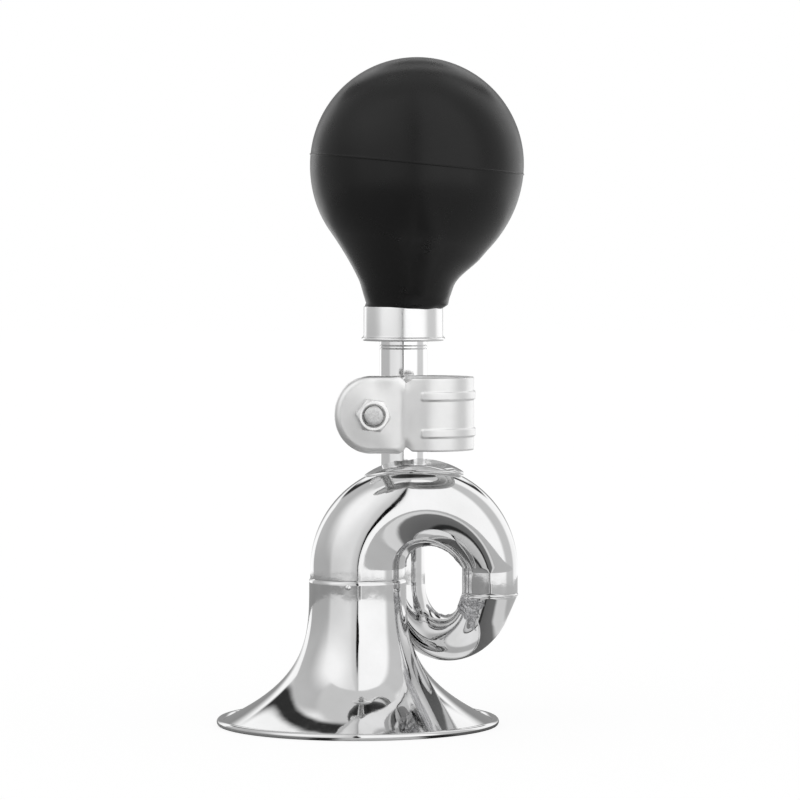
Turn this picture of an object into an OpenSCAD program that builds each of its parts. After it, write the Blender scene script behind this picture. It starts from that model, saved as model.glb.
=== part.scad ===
// Bulb horn for a bicycle handlebar: a rubber bulb drives a brass reed at the top of a coiled,
// tapering tube that ends in a flared bell. A strap clamp on the straight neck holds the bar.
// Millimetres. The horn stands on the rim of its bell, +Z up, and its front faces -Y.

/* [Bell] */
// Outside diameter over the rolled rim
bell_rim_d = 74.4; // [66:0.2:90]
// Outside diameter of the bell's throat
bell_throat_d = 25.6; // [25.2:0.1:26.4]
// Height of the bell from rim to throat
bell_h = 38.4; // [30:0.1:50]
// How sharply the flare opens at the rim
bell_flare_power = 3.45; // [2.5:0.05:5]
// Wall of the bell
bell_wall = 0.8; // [0.5:0.1:1]
// Radius of the rolled rim
rim_bead_r = 1.0; // [0.8:0.1:1.6]

/* [Upper bend] */
// Radius of the bend along its outer edge
bend_r = 27.3; // [26:0.1:34]
// Outside diameter at the bell end
bend_big_d = 25; // [24.2:0.1:25.3]
// Outside diameter at the small end
bend_small_d = 14.6; // [13.6:0.1:18]
// How late the taper of the bend sets in
bend_taper_power = 2; // [1:0.1:3]
// Length of the straight end above the bell
bend_big_straight = 3; // [1:0.1:8]
// Length of the straight small end
bend_small_straight = 7.1; // [2:0.1:12]
// Wall of both bends
bend_wall = 0.8; // [0.5:0.1:1.2]

/* [Lower bend] */
// Angle of the mitre below the small end, from the vertical
mitre_angle = 27; // [15:1:40]
// Straight length below the mitre
mitre_straight = 5.4; // [4.5:0.1:9]
// Outside diameter of the straight leg behind the upper bend
leg_d = 11.6; // [10.6:0.1:12.2]
// How early the lower bend narrows from the mitre to the leg
lower_taper_power = 4; // [1:0.1:6]
// Length of the spigot that plugs into the neck tube
leg_spigot = 7; // [4:0.5:12]

/* [Neck tube] */
// Outside diameter of the neck tube
neck_d = 12.7; // [12.5:0.1:16]
// Wall of the neck tube
neck_wall = 0.8; // [0.5:0.1:1]
// How far the bend's centreline lies in front of the neck
bend_forward = 17.7; // [17.4:0.1:22]
// How far the middle of the upper bend lies to the right of the neck
bend_right = 2.8; // [1:0.1:5]
// Height of the neck tube's lower end above the bend's middle
neck_low_rise = 19; // [18:0.1:22]
// Gap in height between the upper bend's crown and the clamp
clamp_rise = 3.7; // [1.5:0.1:8]
// Gap in height between the clamp and the collar
clamp_to_collar = 8.3; // [3:0.1:20]
// Depth of the two ring grooves
groove_depth = 0.15; // [0.1:0.05:0.3]

/* [Collar] */
// Outside diameter of the collar
collar_d = 21.2; // [20:0.2:24]
// Height of the collar
collar_h = 9.2; // [7:0.1:12]
// Wall of the collar
collar_wall = 0.8; // [0.5:0.1:1.2]
// Radius of the rolled lip at the collar's foot
collar_lip_r = 0.55; // [0.3:0.05:0.8]

/* [Bulb] */
// Largest diameter of the bulb
bulb_d = 57; // [50:0.5:62]
// Height of the widest line above the collar
bulb_rise = 38; // [35:0.5:44]
// Half height of the swelling below the widest line
bulb_low_half = 30.5; // [29:0.5:32]
// Diameter of the bulb just above the collar
bulb_neck_d = 21; // [19:0.2:24]
// Wall of the bulb
bulb_wall = 2.4; // [1.8:0.1:3.2]
// How far the bulb leans to the right
bulb_lean = 5.5; // [0:0.5:8]
// How far the moulding line stands proud
flash_h = 0.25; // [0.1:0.05:0.5]
// How far the neck tube stands up into the bulb above the collar
neck_in_bulb = 3.5; // [2:0.5:6]

/* [Reed] */
// Outside diameter of the reed's brass tube
reed_d = 6.4; // [5:0.1:7]
// Wall of the reed's brass tube
reed_wall = 0.8; // [0.6:0.05:1]
// Length of the reed's brass tube
reed_len = 29; // [24:0.5:34]
// Length of the bush that holds the reed in the neck
bush_len = 10; // [8:0.5:14]
// Thickness of the tongue
tongue_t = 0.3; // [0.2:0.05:0.4]
// Width of the tongue
tongue_w = 5; // [4:0.1:5.2]
// Length of the tongue
tongue_len = 17; // [12:0.5:19]
// Angle at which the tongue stands open
tongue_open = 2; // [1:0.25:2.5]

/* [Handlebar band] */
// Diameter of the bar that the band takes
bar_d = 22.2; // [20:0.2:26]
// Thickness of the band
band_t = 1.1; // [0.8:0.1:1.4]
// Width of the band
band_w = 20; // [16:0.5:20]
// Distance from the bar's middle to the bolt
band_reach = 15.6; // [15.4:0.1:20]
// Distance from the bar's middle to the crease where the ears start
band_crease = 6.9; // [5:0.1:8]
// Radius of the ears
ear_r = 10.1; // [8:0.1:11]
// Depth of the flange round each ear
ear_flange = 2.2; // [1.4:0.1:3]
// Depth of the notches at the crease
notch_depth = 1.5; // [0.5:0.1:2]
// Width of the pressed ribs
rib_w = 2.6; // [1.5:0.1:3.5]
// Height of the pressed ribs
rib_h = 0.4; // [0.2:0.05:0.6]
// Distance between the ribs' middles
rib_spacing = 10.2; // [6:0.2:12]
// Turn of the clamp about the neck
clamp_turn = 6.5; // [0:0.5:15]

/* [Neck clip] */
// Thickness of the clip
clip_t = 1.2; // [0.8:0.1:1.4]
// Width of the clip
clip_w = 14; // [10:0.5:14]
// Distance from the neck's middle to the bolt
clip_reach = 12; // [12:0.1:14]
// Half distance between the neck's middle and the rear ear's outer face
clip_rear_y = 4.5; // [4:0.1:5]

/* [Fasteners] */
// Diameter of the bolt's shank
bolt_d = 5; // [4:0.1:5]
// Distance across the flats of head and nut
hex_af = 8; // [7:0.1:8]
// Height of the nut
nut_h = 4; // [3:0.1:4.7]
// Height of the bolt's head
head_h = 3.5; // [2.5:0.1:4]
// How far the bolt stands out of the nut
bolt_tip = 1.2; // [0.5:0.1:3]
// Thickness of the plain washer
washer_t = 1.0; // [0.6:0.1:1.6]
// Thickness of the spring washer
spring_washer_t = 1.2; // [0.8:0.1:1.6]

/* [Fits] */
// Radial clearance of a running fit
running = 0.06; // [0.02:0.01:0.1]
// Clearance between pieces that are seated or soldered
seat = 0.04; // [0.02:0.01:0.1]
// Clearance between the swinging band and the collar's lip
swing_gap = 0.3; // [0.2:0.05:1]

/* [Hidden] */
$fn = 64;
eps = 0.01;
far = 200;

// Radii
bell_rim_r = bell_rim_d / 2;
bell_throat_r = bell_throat_d / 2;
big_r = bend_big_d / 2;
small_r = bend_small_d / 2;
leg_r = leg_d / 2;
neck_r = neck_d / 2;
neck_bore_r = neck_r - neck_wall;
collar_r = collar_d / 2;
collar_lip_out_r = collar_r + collar_lip_r;
bulb_r = bulb_d / 2;
bulb_neck_r = bulb_neck_d / 2;
reed_r = reed_d / 2;
bar_r = bar_d / 2;
band_out_r = bar_r + band_t;
bolt_r = bolt_d / 2;
hex_r = hex_af / 2 / cos(30);

// Heights and places, with the neck's axis through x = 0, y = 0
bend_y = -bend_forward;
bell_x = bend_right - bend_r + big_r;
bend_z = bell_h + bend_big_straight;
joint_x = bend_right + bend_r - small_r;
joint_z = bend_z - bend_small_straight;
crown_z = bend_z + bend_r;
clamp_z = crown_z + clamp_rise + band_w / 2;
collar_z = clamp_z + band_w / 2 + clamp_to_collar;
collar_top_z = collar_z + collar_h;
neck_low_z = bend_z + neck_low_rise;
neck_top_z = collar_top_z + neck_in_bulb;
bulb_x = bulb_rise * sin(bulb_lean);

// The part's origin: middle of its outline, at the height of the rim
x_low = bell_x - bell_rim_r;
x_high = max(bulb_x + (bulb_r + flash_h) * cos(bulb_lean), bend_right + bend_r);
y_low = bend_y - bell_rim_r;
y_high = max(bulb_r + flash_h, bend_y + bell_rim_r);

module in_part_frame() {
    translate([-(x_low + x_high) / 2, -(y_low + y_high) / 2, 0]) children();
}

module on_bell_axis() {
    translate([bell_x, bend_y, 0]) children();
}

// A tube or a bead through a list of stations. A station is
// [middle, outward direction, outer radius, inner radius]; side is square to the tube's plane.
function station_points(station, side, radius, sides) = [
    for (i = [0 : sides - 1])
        let (turn = 360 * i / sides)
        station[0] + radius * (cos(turn) * station[1] + sin(turn) * side)
];

function wall_faces(first, rings, sides, flip) = [
    for (ring = [0 : rings - 2], i = [0 : sides - 1])
        let (
            a = first + ring * sides + i,
            b = first + ring * sides + (i + 1) % sides,
            c = b + sides,
            d = a + sides
        )
        each flip ? [[a, b, c], [a, c, d]] : [[a, c, b], [a, d, c]]
];

function end_faces(outer, inner, sides, flip) = [
    for (i = [0 : sides - 1])
        let (
            a = outer + i,
            b = outer + (i + 1) % sides,
            c = inner + (i + 1) % sides,
            d = inner + i
        )
        each flip ? [[a, b, c], [a, c, d]] : [[a, c, b], [a, d, c]]
];

module tube_through(stations, side, sides) {
    rings = len(stations);
    inner = rings * sides;
    points = concat(
        [for (s = stations) each station_points(s, side, s[2], sides)],
        [for (s = stations) each station_points(s, side, s[3], sides)]
    );
    polyhedron(
        points,
        concat(
            wall_faces(0, rings, sides, false),
            wall_faces(inner, rings, sides, true),
            end_faces(0, inner, sides, true),
            end_faces((rings - 1) * sides, inner + (rings - 1) * sides, sides, false)
        )
    );
}

// A bead of solder along the inner side of a bend, with four corners at each station
module bead_through(stations, side, width, height) {
    rings = len(stations);
    points = [
        for (s = stations)
            let (foot = s[0] - s[2] * s[1])
            each [
                foot - width / 2 * side,
                foot + width / 2 * side,
                foot + width / 4 * side - height * s[1],
                foot - width / 4 * side - height * s[1]
            ]
    ];
    last = (rings - 1) * 4;
    polyhedron(
        points,
        concat(
            wall_faces(0, rings, 4, true),
            [[0, 3, 2], [0, 2, 1]],
            [[last, last + 1, last + 2], [last, last + 2, last + 3]]
        )
    );
}

// Upper bend: its outer edge is an arc, and its radius falls from the bell to the small end
bend_steps = 24;
bend_sides = 30;
spigot_len = 4;
spigot_wall = 0.6;
spigot_r = bell_throat_r - bell_wall - seat;
spigot_bore_r = spigot_r - spigot_wall;

function bend_radius(share) = big_r - (big_r - small_r) * pow(share, bend_taper_power);

function bend_station(turn, radius, drop) =
    let (out = [cos(turn), 0, sin(turn)])
    [
        [bend_right, bend_y, bend_z - drop] + (bend_r - radius) * out,
        out, radius, radius - bend_wall
    ];

function bend_arc(first, last) = [
    for (i = [first : last])
        bend_station(180 * (1 - i / bend_steps), bend_radius(i / bend_steps), 0)
];

function spigot_station(z, outer, inner) = [[bell_x, bend_y, z], [-1, 0, 0], outer, inner];

module upper_bend() {
    color("silver") in_part_frame()
        tube_through(
            concat(
                [
                    spigot_station(bell_h - spigot_len, spigot_r, spigot_bore_r),
                    spigot_station(bell_h + seat / 2, spigot_r, spigot_bore_r),
                    spigot_station(bell_h + seat, big_r, spigot_bore_r),
                    spigot_station(bell_h + 1, big_r, big_r - bend_wall)
                ],
                bend_arc(0, bend_steps),
                [bend_station(0, small_r, bend_small_straight)]
            ),
            [0, 1, 0], bend_sides
        );
}

seam_w = 1.6;
seam_h = 0.45;

module upper_seam_solder() {
    color("lightslategray") in_part_frame()
        bead_through(bend_arc(4, bend_steps), [0, 1, 0], seam_w, seam_h);
}

// Lower bend: a mitre, a straight length and an arc in the upright plane that joins the small
// end of the upper bend to the neck, then the straight leg and its spigot
lower_steps = 14;
lower_sides = 24;
lower_span = norm([joint_x, bend_y]);
toward_neck = [-joint_x, -bend_y, 0] / lower_span;
lower_side = cross(toward_neck, [0, 0, 1]);
lower_r = (lower_span - mitre_straight * sin(mitre_angle)) / (1 + cos(mitre_angle));
lower_start_z = joint_z - mitre_straight * cos(mitre_angle);
leg_low_z = lower_start_z + lower_r * sin(mitre_angle);
leg_spigot_r = neck_bore_r - seat;
leg_spigot_bore_r = leg_spigot_r - 0.7;

lower_length = mitre_straight + lower_r * (180 - mitre_angle) * PI / 180;

function lower_place(along, z) = [joint_x, bend_y, 0] + along * toward_neck + [0, 0, z];

// Outer radius at a length from the mitre: it narrows fast at first and then levels out
function lower_radius(length) =
    leg_r + (small_r - leg_r) * pow(max(1 - length / lower_length, 0), lower_taper_power);

// Rise is the direction of travel, from steeply down at the mitre to straight up at the leg
function lower_station(share) =
    let (
        rise = -(90 - mitre_angle) + (180 - mitre_angle) * share,
        out = sin(rise) * toward_neck - [0, 0, cos(rise)],
        radius = lower_radius(mitre_straight + (lower_length - mitre_straight) * share)
    )
    [
        lower_place(lower_span - lower_r, leg_low_z) + lower_r * out,
        out, radius, radius - bend_wall
    ];

function leg_station(z, outer, inner) = [lower_place(lower_span, z), toward_neck, outer, inner];

function lower_arc(first, last) = [for (i = [first : last]) lower_station(i / lower_steps)];

module lower_bend() {
    color("silver") in_part_frame()
        tube_through(
            concat(
                [[lower_place(0, joint_z - seat), -toward_neck, small_r, small_r - bend_wall]],
                lower_arc(0, lower_steps),
                [
                    leg_station(neck_low_z - seat, leg_r, leg_spigot_bore_r),
                    leg_station(neck_low_z - seat / 2, leg_spigot_r, leg_spigot_bore_r),
                    leg_station(neck_low_z + leg_spigot, leg_spigot_r, leg_spigot_bore_r)
                ]
            ),
            lower_side, lower_sides
        );
}

module lower_seam_solder() {
    color("lightslategray") in_part_frame()
        bead_through(lower_arc(1, 10), lower_side, seam_w, seam_h);
}

// Solder at the joints
joint_fillet = 0.3;
leg_fillet = 0.8;
blob_r = 1.3;
blob_drop = 1.1;
blob_turn = 260;

module fillet_ring(inner, width, height) {
    rotate_extrude() polygon([[inner, 0], [inner + width, 0], [inner, height]]);
}

module bell_joint_solder() {
    color("lightslategray") in_part_frame() on_bell_axis() {
        translate([0, 0, bell_h + seat])
            fillet_ring(big_r + seat, bell_throat_r - big_r - seat, joint_fillet);
        difference() {
            rotate([0, 0, blob_turn])
                translate([bell_throat_r - blob_r / 2, 0, bell_h - blob_drop])
                    sphere(blob_r, $fn = 32);
            translate([0, 0, -eps]) cylinder(r = bell_throat_r + seat, h = bell_h + far);
        }
    }
}

module loop_joint_solder() {
    color("lightslategray") in_part_frame()
        translate([joint_x, bend_y, joint_z])
            fillet_ring(small_r + seat, joint_fillet, 2 * joint_fillet);
}

module leg_solder() {
    color("lightslategray") in_part_frame()
        translate([0, 0, neck_low_z - seat]) mirror([0, 0, 1])
            fillet_ring(leg_r + seat, neck_r - leg_r - seat, leg_fillet);
}

// Bell: the flare is a power curve from the throat to the rolled rim, which is cut flat below
flare_steps = 18;
rim_z = 0.9 * rim_bead_r;
flare_h = bell_h - rim_z;
flare_w = bell_rim_r - rim_bead_r - bell_throat_r;

function flare_point(share, inset) =
    let (
        left = 1 - share,
        slope = -flare_w * bell_flare_power * pow(left, bell_flare_power - 1) / flare_h,
        tilt = norm([1, slope])
    )
    [
        bell_throat_r + flare_w * pow(left, bell_flare_power) - inset / tilt,
        rim_z + flare_h * share + inset * slope / tilt
    ];

module bell() {
    shares = [for (i = [0 : flare_steps]) pow(i / flare_steps, 1.4)];
    color("silver") in_part_frame() on_bell_axis()
        difference() {
            rotate_extrude($fn = 96) {
                polygon(concat(
                    [for (share = shares) flare_point(share, 0)],
                    [for (i = [flare_steps : -1 : 0]) flare_point(shares[i], bell_wall)]
                ));
                translate([bell_rim_r - rim_bead_r, rim_z]) circle(rim_bead_r, $fn = 32);
            }
            translate([0, 0, -far]) cylinder(r = far, h = far);
        }
}

// Neck tube, with two ring grooves below the collar that hold the reed's bush
groove_w = 0.3;
groove_below = [1.2, 2.0];

module neck_tube() {
    color("gainsboro") in_part_frame()
        difference() {
            translate([0, 0, neck_low_z]) cylinder(r = neck_r, h = neck_top_z - neck_low_z);
            translate([0, 0, neck_low_z - 1])
                cylinder(r = neck_bore_r, h = neck_top_z - neck_low_z + 2);
            for (below = groove_below)
                translate([0, 0, collar_z - below - groove_w / 2])
                    rotate_extrude() translate([neck_r - groove_depth, 0]) square([1, groove_w]);
        }
}

// Saddle plate: a leaf of sheet that rides on the crown of the upper bend and reaches back to
// the neck, which it is notched to fit
plate_t = 0.9;
plate_half_w = 13;
plate_front = 6.4;
plate_back = 12.5;
plate_tilt = 4;
plate_section_r = big_r - 0.5;
plate_steps = 8;

function plate_section(radius) = [
    for (i = [0 : plate_steps])
        let (turn = 50 * i / plate_steps)
        [
            bend_r + seat - plate_section_r + radius * cos(turn),
            -radius * sin(turn)
        ]
];

module saddle_plate() {
    color("darkgray") in_part_frame()
        difference() {
            intersection() {
                translate([bend_right, bend_y, bend_z])
                    rotate([90, 0, 0]) rotate([0, 0, 45 + plate_tilt])
                        rotate_extrude(angle = 90, $fn = 96)
                            mirror([0, 1])
                                polygon(concat(
                                    [[bend_r + seat, plate_back]],
                                    plate_section(plate_section_r),
                                    [for (i = [plate_steps : -1 : 0])
                                        plate_section(plate_section_r + plate_t)[i]],
                                    [[bend_r + seat + plate_t, plate_back]]
                                ));
                translate([bend_right, bend_y, bend_z]) linear_extrude(bend_r + 5)
                    polygon([
                        for (i = [0 : 35])
                            let (turn = 10 * i)
                            [
                                plate_half_w * cos(turn),
                                (turn > 180 ? plate_front : plate_back) * sin(turn)
                            ]
                    ]);
            }
            translate([0, 0, bend_z]) cylinder(r = neck_r + seat, h = bend_r + 10);
        }
}

// Collar: a drawn cup round the bulb's foot, with a rolled lip below
module bulb_collar() {
    color("whitesmoke") in_part_frame() translate([0, 0, collar_z])
        difference() {
            union() {
                cylinder(r = collar_r, h = collar_h);
                rotate_extrude() translate([collar_r, collar_lip_r])
                    circle(collar_lip_r, $fn = 24);
            }
            translate([0, 0, collar_wall])
                cylinder(r = collar_r - collar_wall, h = collar_h);
            translate([0, 0, -1]) cylinder(r = neck_r + seat, h = collar_h);
        }
}

// Bulb: a sphere above its widest line, a fuller half below it and a curved flank down to the
// neck. The curve's handles set how the flank leaves the swelling and meets the neck.
flank_start = 41;
flank_handle = 6;
foot_handle = 8;
dome_steps = 16;
low_steps = 7;
flank_steps = 8;

function between(a, b, c, d, t) =
    pow(1 - t, 3) * a + 3 * pow(1 - t, 2) * t * b + 3 * (1 - t) * t * t * c + pow(t, 3) * d;

function bulb_profile(inset) =
    let (
        wide = bulb_r - inset,
        low = bulb_low_half - inset,
        start = [wide * cos(flank_start), -low * sin(flank_start)],
        foot = [bulb_neck_r - inset, -bulb_rise],
        slope = [-wide * sin(flank_start), -low * cos(flank_start)],
        start_handle = start + flank_handle * slope / norm(slope),
        end_handle = foot + foot_handle * [0.1, 1]
    )
    concat(
        [for (i = [0 : dome_steps - 1])
            let (turn = 90 * (1 - i / dome_steps)) [wide * cos(turn), wide * sin(turn)]],
        [for (i = [0 : low_steps - 1])
            let (turn = flank_start * i / low_steps) [wide * cos(turn), -low * sin(turn)]],
        [for (i = [0 : flank_steps])
            between(start, start_handle, end_handle, foot, i / flank_steps)]
    );

module bulb_turned(inset, tail) {
    profile = bulb_profile(inset);
    foot = profile[len(profile) - 1];
    translate([0, 0, collar_top_z]) rotate([0, bulb_lean, 0]) translate([0, 0, bulb_rise])
        rotate_extrude($fn = 96)
            polygon(concat(profile, [foot - [0, tail], [0, foot[1] - tail]]));
}

module bulb() {
    plug_r = collar_r - collar_wall - seat;
    color([0.06, 0.06, 0.06]) in_part_frame()
        difference() {
            union() {
                difference() {
                    union() {
                        bulb_turned(0, 2);
                        translate([0, 0, collar_top_z]) rotate([0, bulb_lean, 0])
                            translate([0, 0, bulb_rise]) rotate_extrude($fn = 96)
                                polygon([
                                    [bulb_r - 1, -flash_h],
                                    [bulb_r + flash_h, -flash_h / 2],
                                    [bulb_r + flash_h, flash_h / 2],
                                    [bulb_r - 1, flash_h]
                                ]);
                    }
                    translate([0, 0, collar_top_z + seat - 10]) cylinder(r = far, h = 10);
                }
                translate([0, 0, collar_z + collar_wall + seat])
                    cylinder(r = plug_r, h = collar_h - collar_wall + 1);
            }
            difference() {
                bulb_turned(bulb_wall, 2);
                translate([0, 0, neck_top_z - 10]) cylinder(r = far, h = 10);
            }
            translate([0, 0, collar_z]) cylinder(r = neck_r + seat, h = neck_top_z - collar_z + 1);
        }
}

// Reed: a brass tube with a flat planed on its front, a springy tongue that beats on the flat,
// a wedge that holds the tongue's root and a bush that seats them in the neck
flat_y = -1.4;
reed_tail = 3;
flat_below = 2.6;
wedge_below = 0.2;
bush_top_z = collar_z + 2.8;
reed_low_z = bush_top_z - bush_len - reed_tail;
flat_z = bush_top_z - flat_below;
tongue_pivot_z = bush_top_z - flat_below / 2;
tongue_y = flat_y - running;

module reed_bush() {
    color("dimgray") in_part_frame() translate([0, 0, bush_top_z - bush_len])
        difference() {
            cylinder(r = neck_bore_r - seat, h = bush_len);
            translate([0, 0, -1]) cylinder(r = reed_r + seat, h = bush_len + 2);
        }
}

module reed_body() {
    color("goldenrod") in_part_frame()
        difference() {
            translate([0, 0, reed_low_z]) cylinder(r = reed_r, h = reed_len);
            translate([0, 0, reed_low_z - 1])
                cylinder(r = reed_r - reed_wall, h = reed_len + 1 - reed_wall);
            translate([-reed_r, flat_y - reed_r, flat_z]) cube([reed_d, reed_r, reed_len]);
        }
}

module reed_wedge() {
    color("darkgoldenrod") in_part_frame()
        intersection() {
            translate([0, 0, flat_z + seat]) cylinder(r = reed_r, h = flat_below - wedge_below);
            translate([-reed_r, -far - 2 * running + tongue_y - tongue_t, flat_z])
                cube([reed_d, far, flat_below + 1]);
        }
}

module reed_tongue() {
    root = tongue_pivot_z - flat_z - 2 * seat;
    color("gold") in_part_frame()
        translate([0, tongue_y, tongue_pivot_z]) rotate([tongue_open, 0, 0])
            translate([-tongue_w / 2, -tongue_t, -root]) cube([tongue_w, tongue_t, tongue_len]);
}

// Clamp: the band and the neck clip share one bolt. Both are drawn about their own loops, with
// the bolt to the left at height 0, and the whole clamp is turned about the neck. The band swings
// with a running gap between the nut and the plain washer.
ear_y = sqrt(pow(band_out_r, 2) - pow(band_crease, 2));
band_y = -(collar_lip_out_r + swing_gap + rib_h + band_out_r);
band_x = band_reach - clip_reach;
hole_r = bolt_r + running;
flange_t = band_t;
notch_w = 3.2;
rib_start_x = -2.7;
rib_turn = acos(rib_start_x / band_out_r);
rib_root = 0.2;

module in_clamp_frame() {
    in_part_frame() translate([0, 0, clamp_z]) rotate([0, 0, clamp_turn]) children();
}

// A cylinder along the bolt, from y to y + length
module along_bolt(y, length, radius, sides = 64) {
    translate([-clip_reach, y + length, 0]) rotate([90, 0, 0])
        cylinder(r = radius, h = length, $fn = sides);
}

// The outline of an ear, drawn at the bolt and reaching right to the crease
module ear_blank(radius, depth, reach) {
    rotate([90, 0, 0]) cylinder(r = radius, h = depth);
    translate([0, -depth, -radius]) cube([reach, depth, 2 * radius]);
}

module band_ear() {
    reach = band_reach - band_crease;
    difference() {
        translate([-band_reach, ear_flange - ear_y, 0]) ear_blank(ear_r, ear_flange, reach);
        translate([-band_reach, ear_flange - ear_y + 1, 0])
            ear_blank(ear_r - flange_t, ear_flange - band_t + 1, reach - notch_w / 2);
        translate([-band_crease - notch_w / 2, band_t - ear_y, -far / 2])
            cube([far, far, far]);
        translate([-band_reach, 0, 0]) rotate([90, 0, 0]) cylinder(r = hole_r, h = far);
    }
    // the crease, where the flat ear runs into the round of the band
    translate([-band_crease - 1, -ear_y, -band_w / 2]) cube([1.3, band_t, band_w]);
}

module band_rib(z) {
    rotate([0, 0, -rib_turn])
        rotate_extrude(angle = 2 * rib_turn, $fn = 96)
            translate([band_out_r - rib_root, z - rib_w / 2]) square([rib_root + rib_h, rib_w]);
    for (turn = [-rib_turn, rib_turn])
        rotate([0, 0, turn]) translate([band_out_r - rib_root, 0, z]) rotate([0, 90, 0])
            cylinder(r = rib_w / 2, h = rib_root + rib_h, $fn = 32);
}

module handlebar_band() {
    color("lightgray") in_clamp_frame() translate([band_x, band_y, 0])
        difference() {
            union() {
                difference() {
                    cylinder(r = band_out_r, h = band_w, center = true, $fn = 96);
                    translate([-far - band_crease, -far / 2, -far / 2]) cube(far);
                }
                for (z = [-rib_spacing / 2, rib_spacing / 2]) band_rib(z);
                band_ear();
                mirror([0, 1, 0]) band_ear();
            }
            cylinder(r = bar_r, h = far, center = true, $fn = 96);
            for (end = [0, 1]) mirror([0, 0, end])
                translate([-band_crease, far / 2, band_w / 2 + 0.3]) rotate([90, 0, 0])
                    linear_extrude(far)
                        polygon([[-notch_w / 2, 0.1], [0, -notch_depth - 0.3], [notch_w / 2, 0.1]]);
        }
}

// Neck clip: a strap that wraps the neck, with its front ear set forward to meet the band
washer_y = band_y + ear_y + running;
clip_bend_r = 1.5;
clip_r = neck_r + running + clip_t / 2;
clip_front_mid = washer_y + washer_t + clip_t / 2;
clip_rear_mid = clip_rear_y - clip_t / 2;
clip_corner = [-clip_reach / 2, clip_front_mid + clip_bend_r];
clip_slope = atan2(-clip_corner[1], -clip_corner[0])
    - asin((clip_r - clip_bend_r) / norm(clip_corner));
clip_wrap_end = 180 - asin((clip_rear_mid + clip_bend_r) / (clip_r + clip_bend_r));
clip_rear_bend = (clip_r + clip_bend_r) * [cos(clip_wrap_end), sin(clip_wrap_end)];

function arc_points(middle, radius, first, last, steps) = [
    for (i = [0 : steps])
        let (turn = first + (last - first) * i / steps)
        middle + radius * [cos(turn), sin(turn)]
];

// One face of the strap, seen along the neck, at a distance outward from its middle line
function clip_face(out) = concat(
    [[-clip_reach, clip_front_mid - out]],
    arc_points(clip_corner, clip_bend_r + out, -90, clip_slope - 90, 5),
    arc_points([0, 0], clip_r + out, clip_slope - 90, clip_wrap_end, 36),
    arc_points(clip_rear_bend, clip_bend_r - out, clip_wrap_end + 180, 270, 6),
    [[-clip_reach, clip_rear_mid + out]]
);

module clip_ear_end(y) {
    intersection() {
        along_bolt(y - clip_t / 2, clip_t, clip_w / 2);
        translate([2 - clip_reach - far, -far / 2, -far / 2]) cube(far);
    }
}

module neck_clip() {
    inner = clip_face(-clip_t / 2);
    color("lightgray") in_clamp_frame()
        difference() {
            union() {
                translate([0, 0, -clip_w / 2])
                    linear_extrude(clip_w)
                        polygon(concat(
                            clip_face(clip_t / 2),
                            [for (i = [len(inner) - 1 : -1 : 0]) inner[i]]
                        ));
                clip_ear_end(clip_front_mid);
                clip_ear_end(clip_rear_mid);
            }
            along_bolt(-far / 2, far, hole_r);
        }
}

// Fasteners on the bolt's axis, from the nut at the front to the head behind the neck
nut_face_y = band_y - ear_y - running;
bolt_tip_y = nut_face_y - nut_h - bolt_tip;
head_y = clip_rear_y + spring_washer_t;
washer_r = 5;
spring_washer_r = 4.4;
split_w = 0.8;
chamfer = 0.6;
nut_turn = 7;

module chamfered_hex(y, height, both) {
    intersection() {
        translate([0, 0, 0]) along_bolt(y, height, hex_r, 6);
        translate([-clip_reach, y + height, 0]) rotate([90, 0, 0]) union() {
            translate([0, 0, height - chamfer])
                cylinder(r1 = hex_r, r2 = hex_r - 1.6 * chamfer, h = chamfer);
            translate([0, 0, both ? chamfer : 0])
                cylinder(r = hex_r, h = height - chamfer - (both ? chamfer : 0));
            if (both) cylinder(r1 = hex_r - 1.6 * chamfer, r2 = hex_r, h = chamfer);
        }
    }
}

module plain_washer() {
    color("gainsboro") in_clamp_frame()
        difference() {
            along_bolt(washer_y, washer_t, washer_r);
            along_bolt(-far / 2, far, hole_r);
        }
}

module spring_washer() {
    color("gray") in_clamp_frame()
        difference() {
            along_bolt(clip_rear_y, spring_washer_t, spring_washer_r);
            along_bolt(-far / 2, far, hole_r);
            translate([-clip_reach, clip_rear_y + spring_washer_t / 2, 0])
                rotate([0, 20, 0]) translate([0, -far / 2, -split_w / 2])
                    cube([far, far, split_w]);
        }
}

module clamp_bolt() {
    color("gainsboro") in_clamp_frame() {
        along_bolt(bolt_tip_y + chamfer, head_y - bolt_tip_y - chamfer + eps, bolt_r);
        translate([-clip_reach, bolt_tip_y + chamfer, 0]) rotate([90, 0, 0])
            cylinder(r1 = bolt_r, r2 = bolt_r - chamfer, h = chamfer);
        translate([-clip_reach, head_y, 0]) mirror([0, 1, 0]) translate([clip_reach, 0, 0])
            chamfered_hex(-head_h, head_h, false);
    }
}

module clamp_nut() {
    color("gainsboro") in_clamp_frame()
        difference() {
            translate([-clip_reach, 0, 0]) rotate([0, nut_turn, 0])
                translate([clip_reach, 0, 0])
                    chamfered_hex(nut_face_y - nut_h, nut_h, true);
            along_bolt(-far / 2, far, hole_r);
        }
}

bell();
bell_joint_solder();
upper_bend();
upper_seam_solder();
loop_joint_solder();
lower_bend();
lower_seam_solder();
leg_solder();
neck_tube();
saddle_plate();
bulb_collar();
bulb();
reed_bush();
reed_body();
reed_wedge();
reed_tongue();
neck_clip();
handlebar_band();
plain_washer();
spring_washer();
clamp_bolt();
clamp_nut();
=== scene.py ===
"""Bicycle bulb horn: a chromed, coiled horn with a rubber bulb, a brass reed and a strap clamp.
The pieces are shaped in millimetres about the neck's axis, the way the metal is worked: spun,
drawn round a bend, pressed from strip or turned, and then seated in the part's frame."""
import math

import bmesh
import bpy
from mathutils import Matrix, Vector, noise


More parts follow.
